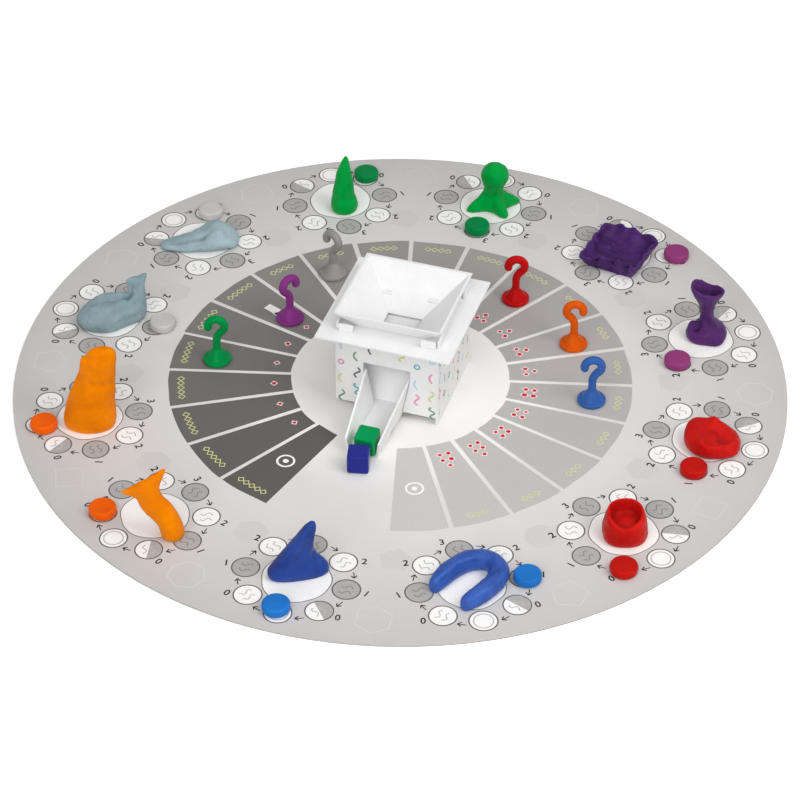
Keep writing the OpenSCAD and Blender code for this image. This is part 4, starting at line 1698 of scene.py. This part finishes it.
FIGURES = (
    ClayFigure("green_cone", 0, (
        Dent((-6.5, -13, 8), 6, -0.5),
        Dent((13.5, -13, 8), 6, -0.6),
        Crease(((-6, -14, 14), (3.7, -21.5, 14), (13, -14, 14)), 2.5, 0.5),
        Crease(((0, -20, 12), (2, -17, 30), (3.5, -13, 48)), 2.2, -0.5),
        Crease(((9, -19, 12), (8, -16, 28), (5, -13, 46)), 2.4, 0.6),
        Pull((4.3, -11.9, 50), 6, (1.0, 0, 0)),
        Dent((4.3, -11.9, 52.5), 2.5, 1.0),
    ), wobble=0.6),
    ClayFigure("green_tripod", 1, (
        Dent((2.5, -5, 20.5), 7, -2.4),
        Dent((2.5, -4, 32), 9, -0.6),
        Dent((15, -4, 6), 6, -2.5),
        Crease(((-2, -10, 15), (3, -10, 15.5), (9, -8, 15)), 2.6, 0.6),
    )),
    ClayFigure("purple_dish", 2, (
        Dent((0, 1, 4.4), 12, 1.4),
        Dent((17, 2, 5.6), 6, 1.6),
        Pull((-16, -25, 11), 6, (0.5, 0.9, 3.5)),
        Pull((-6, -30, 10.5), 6, (0.5, 0.9, 4.0)),
        Pull((4.5, -35, 9), 6, (0.3, 0.9, 5.0)),
        Pull((-22, -21.6, 11), 3.2, (1.2, 2.0, -4.0)),
        Pull((-10.8, -27.8, 11), 3.2, (1.2, 2.0, -4.6)),
        Pull((0.3, -34, 10), 3.2, (1.2, 2.0, -4.6)),
        Pull((13.4, -27.5, 11), 3.4, (-1.4, 0.8, -2.4)),
        Pull((19.2, -17, 11), 3.4, (-1.4, 0.8, -2.4)),
        Pull((25, -6.5, 11), 3.4, (-1.4, 0.8, -2.4)),
        Crease(((-24, -8, 8), (-19, 5, 8.5)), 2.4, -1.0),
        Crease(((-25, -13, 8), (-15, -8, 5)), 2.2, -1.9),
        Crease(((-17, -19, 8), (-9, -11, 5)), 2.2, -2.0),
        Crease(((-7, -25, 8), (-3, -16, 5)), 2.2, -2.0),
        Crease(((-22.2, -21.6, 11), (-20.4, -18.3, 1)), 2.6, 1.7),
        Crease(((-10.8, -27.8, 11), (-9, -24.6, 1)), 2.6, 1.7),
        Crease(((0.3, -34, 11), (2.1, -30.7, 1)), 2.6, 1.7),
        Crease(((-19, 6, 8), (-9, 4, 5)), 1.8, -1.1),
        Crease(((-13, 14, 9), (-5, 8, 5)), 1.8, -1.0),
        Crease(((7, -29, 9), (6, -20, 6)), 2.0, -1.2),
        Crease(((20, -8, 9), (12, -8, 5)), 1.8, -1.0),
    ), wobble=1.0, voxel=0.0007),
    ClayFigure("purple_goblet", 3, (
        Dent((-6.8, -0.5, 12), 4.2, 5.5),
        Pull((-9.5, 4, 8), 4.5, (-0.8, 0.5, 7.5)),
        Pull((-11, -2, 6), 3.5, (-0.8, 0, 3)),
        Pull((-5.5, 7.5, 10), 4, (0, 0, 4.5)),
        Crease(((-9.5, -4, 7), (-5, -7.5, 9), (2, -9, 9)), 2.4, -1.2),
        Crease(((0.4, -4.5, 37), (3, -2, 28), (4.7, -0.3, 21.8), (11, -2, 12)), 2.0, -0.8),
        Pull((-6, 9, 46), 6, (-0.5, 1, 0.6)),
        Pull((6, 13, 45), 5, (0, 0, -2.5)),
        Pull((14, 5, 42), 5, (1, -0.5, 0)),
    )),
    ClayFigure("red_lump", 4, (
        Pull((-9, 5, 13), 9, (-0.5, 1.5, 2.2)),
        Dent((10, -12, 10), 7, 1.2),
        Crease((
            (-5.7, -18.6, 12.4), (-1, -22, 10.5), (8.2, -21, 10.4), (16, -17, 9.5),
            (21.6, -11.7, 8.6),
        ), 2.4, -1.3),
        Crease(((-5.7, -18.6, 12.4), (4.7, -10.4, 12)), 2.6, -1.2),
        Crease(((-3, -11, 13.5), (6, -5, 14)), 3.4, 0.9),
    )),
    ClayFigure("red_pot", 5, (
        Pull((-0.5, -15, 18), 7.5, (0, -0.5, -2.4)),
        Pull((1, 0, 6), 9, (0, 0, 4.5)),
        Crease((
            (-11.6, -8.5, 18), (-6, -13.5, 16.5), (-0.5, -15, 15.5), (6, -13, 16.5),
            (11.9, -8.9, 18.5),
        ), 3.0, -0.9),
    )),
    ClayFigure("blue_horseshoe", 6, (
        Crease(((-25, -7, 10.2), (-10.5, 8.5, 13), (2.9, 16.2, 12.4), (12, 15, 12.3)), 2.2, -1.0),
        Crease(((-20, -7, 9), (-7, 4.5, 10.5), (4, 10.5, 10.5)), 3.0, 1.1),
        Crease(((11, -3, 10.5), (18, 3, 13.1)), 3.0, 1.6),
        Crease(((22, -1, 11.5), (17, -11, 10), (3, -22, 10)), 2.2, -0.9),
        Dent((-27, -13, 6), 7, 1.4),
        Dent((-5, -27, 6), 7, 1.2),
    )),
    ClayFigure("blue_fin", 7, (
        Crease(((10.5, 1, 47), (1.8, -0.2, 34), (-9.7, -1.3, 17), (-16, -2, 6)), 1.8, -0.9),
        Crease(((6.5, -0.3, 38), (-3, -2, 22), (-6, -5, 6)), 2.4, -0.8),
        Crease(((13, 3.4, 20), (14.6, 2.9, 12.3), (15.8, 0.5, 6)), 3.0, 1.6),
        Dent((20, 6, 8), 6, -1.2),
        Crease(((9, 0, 44), (10.5, 2, 36), (9, 2, 28)), 2.4, 0.7),
    ), wobble=0.4),
    ClayFigure("orange_tail", 8, (
        Crease(((-14, -22, 44), (-4, -21, 47), (8, -18, 52)), 3.0, 0.6),
        Crease(((2, -24, 30), (9, -26, 18), (14, -28, 8)), 2.6, -0.5),
        Pull((8, -22, 21), 10, (2.8, 0, 0)),
        Dent((-11, -21, 33), 6, 2.4),
    ), wobble=0.6),
    ClayFigure("orange_peak", 9, (
        Pull((6, -6, 66), 6, (-3, 0, 0.5)),
        Pull((1, -8, 59), 5, (-1.8, 0, 1.1)),
        Dent((4, -8, 64), 3, 0.7),
        Crease(((6, -14.6, 42.5), (14, -13, 41.5), (20.5, -10, 40.4)), 3.2, 0.9),
        Crease(((-10, -10, 33), (-5, -8, 44), (0, -8, 54)), 2.4, -0.8),
        Crease(((10, -12, 66), (8, -13, 56), (9, -14, 47)), 3.0, -0.7),
        Crease(((-12, -14, 24), (-2, -18, 22), (10, -18, 23)), 4.0, 0.6),
    ), wobble=0.6),
    ClayFigure("grey_lump", 10, (
        Crease(((-12.9, -5, 18.5), (3.6, -4.5, 20.5), (14, 1, 20.4)), 3.6, 1.8),
        Crease(((14, 1.5, 20.4), (19, 4, 26)), 3.0, 1.6),
        Crease(((-9, 2, 19), (5, 4, 21), (14, 6, 23)), 2.6, -1.0),
        Crease(((10, -15, 9), (17, -11.8, 8.2), (26.9, -3.6, 7.6)), 3.6, 1.4),
        Crease(((5.6, -12.8, 16.4), (14, -8, 15)), 3.6, 1.2),
        Dent((-4.6, -17.2, 14.1), 6, -1.2),
        Dent((24, 8, 34), 3, 2.0),
        Pull((19, 6.8, 30), 5, (-2.5, 0, 1)),
        Dent((-18, -12, 14), 5, 0.9),
    ), wobble=0.9),
    ClayFigure("grey_drop", 11, (
        Crease(((-23, -12.3, 5.6), (-10, -11.5, 8.5), (0.3, -11.2, 10.7)), 3.4, 1.3),
        Crease(((0.3, -11.2, 10.7), (9.5, -5.7, 16.4)), 3.4, 1.0),
        Crease(((-23, -15, 5), (-5, -15.5, 8), (6, -15.5, 10)), 2.6, -0.8),
        Dent((21, -8, 14), 5, 1.2),
        Dent((8, -13, 11), 5, -0.8),
    ), wobble=0.9),
)


# Stage


@dataclass(frozen=True)
class Lamp:
    """A soft square lamp; its seat is right, away and up, as seen by the camera."""

    name: str
    seat: Place
    size: float
    power: float

    def hang(self, scene: bpy.types.Scene, azimuth: float) -> None:
        """Hangs the lamp so that it looks at the board.

        Args:
            scene: The scene.
            azimuth: Direction of the camera in degrees.
        """
        light = bpy.data.lights.new(self.name, "AREA")
        light.size = self.size
        light.energy = self.power
        lamp = bpy.data.objects.new(self.name, light)
        scene.collection.objects.link(lamp)
        at = turned(azimuth) @ Vector(self.seat)
        aim = (-at).to_track_quat("-Z", "Y").to_matrix().to_4x4()
        lamp.matrix_world = Matrix.Translation(at) @ aim


@dataclass
class Studio:
    """Camera, floor and soft light."""

    # The camera
    image_px: int = 800
    focal_px: float = 2981.6
    sensor_mm: float = 36.0
    sight: float = 50.0
    azimuth: float = 17.78
    elevation: float = 39.051
    roll: float = 0.284
    distance: float = 2.2224
    aim: Place = (-0.0002, -0.0270, 0.002)

    # The floor, whose glow in the camera's view rises to white between two distances
    floor_drop: float = 0.0002
    floor_half: float = 6.0
    floor_tone: Colour = srgb(250, 250, 250)
    floor_glow: float = 0.3
    floor_fade: Point = (0.45, 1.6)

    # The light
    sky: float = 0.36
    lamps: tuple[Lamp, ...] = (
        Lamp("key_lamp", (1.20, -0.75, 1.52), 1.1, 16.5),
        Lamp("fill_lamp", (-0.50, -1.72, 1.29), 1.6, 24.0),
        Lamp("top_lamp", (0.45, 0.35, 1.85), 1.0, 5.0),
    )

    def build(self) -> None:
        """Sets up the camera, the floor and the light."""
        scene = bpy.context.scene
        scene.view_settings.view_transform = "Standard"
        self._set_camera(scene)
        self._lay_floor(scene)
        self._light_room(scene)
        for lamp in self.lamps:
            lamp.hang(scene, self.azimuth)

    def _set_camera(self, scene: bpy.types.Scene) -> None:
        """Puts the camera where the photograph was taken from.

        Args:
            scene: The scene.
        """
        lens = bpy.data.cameras.new("photo_camera")
        lens.sensor_fit = "HORIZONTAL"
        lens.sensor_width = self.sensor_mm
        lens.lens = self.focal_px * self.sensor_mm / self.image_px
        lens.clip_end = self.sight
        camera = bpy.data.objects.new("photo_camera", lens)
        scene.collection.objects.link(camera)
        scene.camera = camera
        rise = math.radians(self.elevation)
        seat = Vector(self.aim) + Vector((0, -math.cos(rise), math.sin(rise))) * self.distance
        tilt = Matrix.Rotation(math.pi / 2 - rise, 4, "X") @ turned(self.roll)
        camera.matrix_world = turned(self.azimuth) @ Matrix.Translation(seat) @ tilt

    def _lay_floor(self, scene: bpy.types.Scene) -> None:
        """Lays a plain pale floor under the board.

        Args:
            scene: The scene.
        """
        bm = bmesh.new()
        where = Matrix.Translation((0, 0, -self.floor_drop))
        bmesh.ops.create_grid(bm, x_segments=1, y_segments=1, size=self.floor_half, matrix=where)
        floor = bpy.data.objects.new("floor", to_mesh(bm, "floor"))
        scene.collection.objects.link(floor)
        shader = Shader("floor_paper")
        shader.put(
            Base_Color=self.floor_tone,
            Roughness=0.9,
            Specular_IOR_Level=0.0,
            Emission_Color=(1.0, 1.0, 1.0),
        )
        glow = shader.spread(shader.away(), self.floor_glow, 1 - self.sky, *self.floor_fade)
        seen = shader.node("ShaderNodeMath")
        seen.operation = "MULTIPLY"
        shader.link(shader.node("ShaderNodeLightPath").outputs["Is Camera Ray"], seen.inputs[0])
        shader.link(glow, seen.inputs[1])
        shader.feed("Emission Strength", seen.outputs["Value"])
        floor.data.materials.append(shader.material)

    def _light_room(self, scene: bpy.types.Scene) -> None:
        """Fills the room with plain white light, before a backdrop that the camera sees white.

        Args:
            scene: The scene.
        """
        world = bpy.data.worlds.new("studio")
        world.use_nodes = True
        tree = world.node_tree
        back = tree.nodes["Background"]
        back.inputs["Color"].default_value = (1, 1, 1, 1)
        path = tree.nodes.new("ShaderNodeLightPath")
        seen = tree.nodes.new("ShaderNodeMapRange")
        seen.inputs["To Min"].default_value = self.sky
        seen.inputs["To Max"].default_value = 1.0
        tree.links.new(path.outputs["Is Camera Ray"], seen.inputs["Value"])
        tree.links.new(seen.outputs["Result"], back.inputs["Strength"])
        scene.world = world


def main() -> None:
    """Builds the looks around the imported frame."""
    logging.basicConfig(level=logging.INFO, format="%(name)s: %(message)s")
    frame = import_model()
    Studio().build()
    PlayBoard().build(frame)
    DiceTower().build(frame)
    MouldedPieces().build(frame)
    clay = {colour: finish.material() for colour, finish in CLAY.items()}
    for figure in FIGURES:
        figure.build(frame, clay.get(figure.node, clay[figure.colour]))


if __name__ == "__main__":
    main()
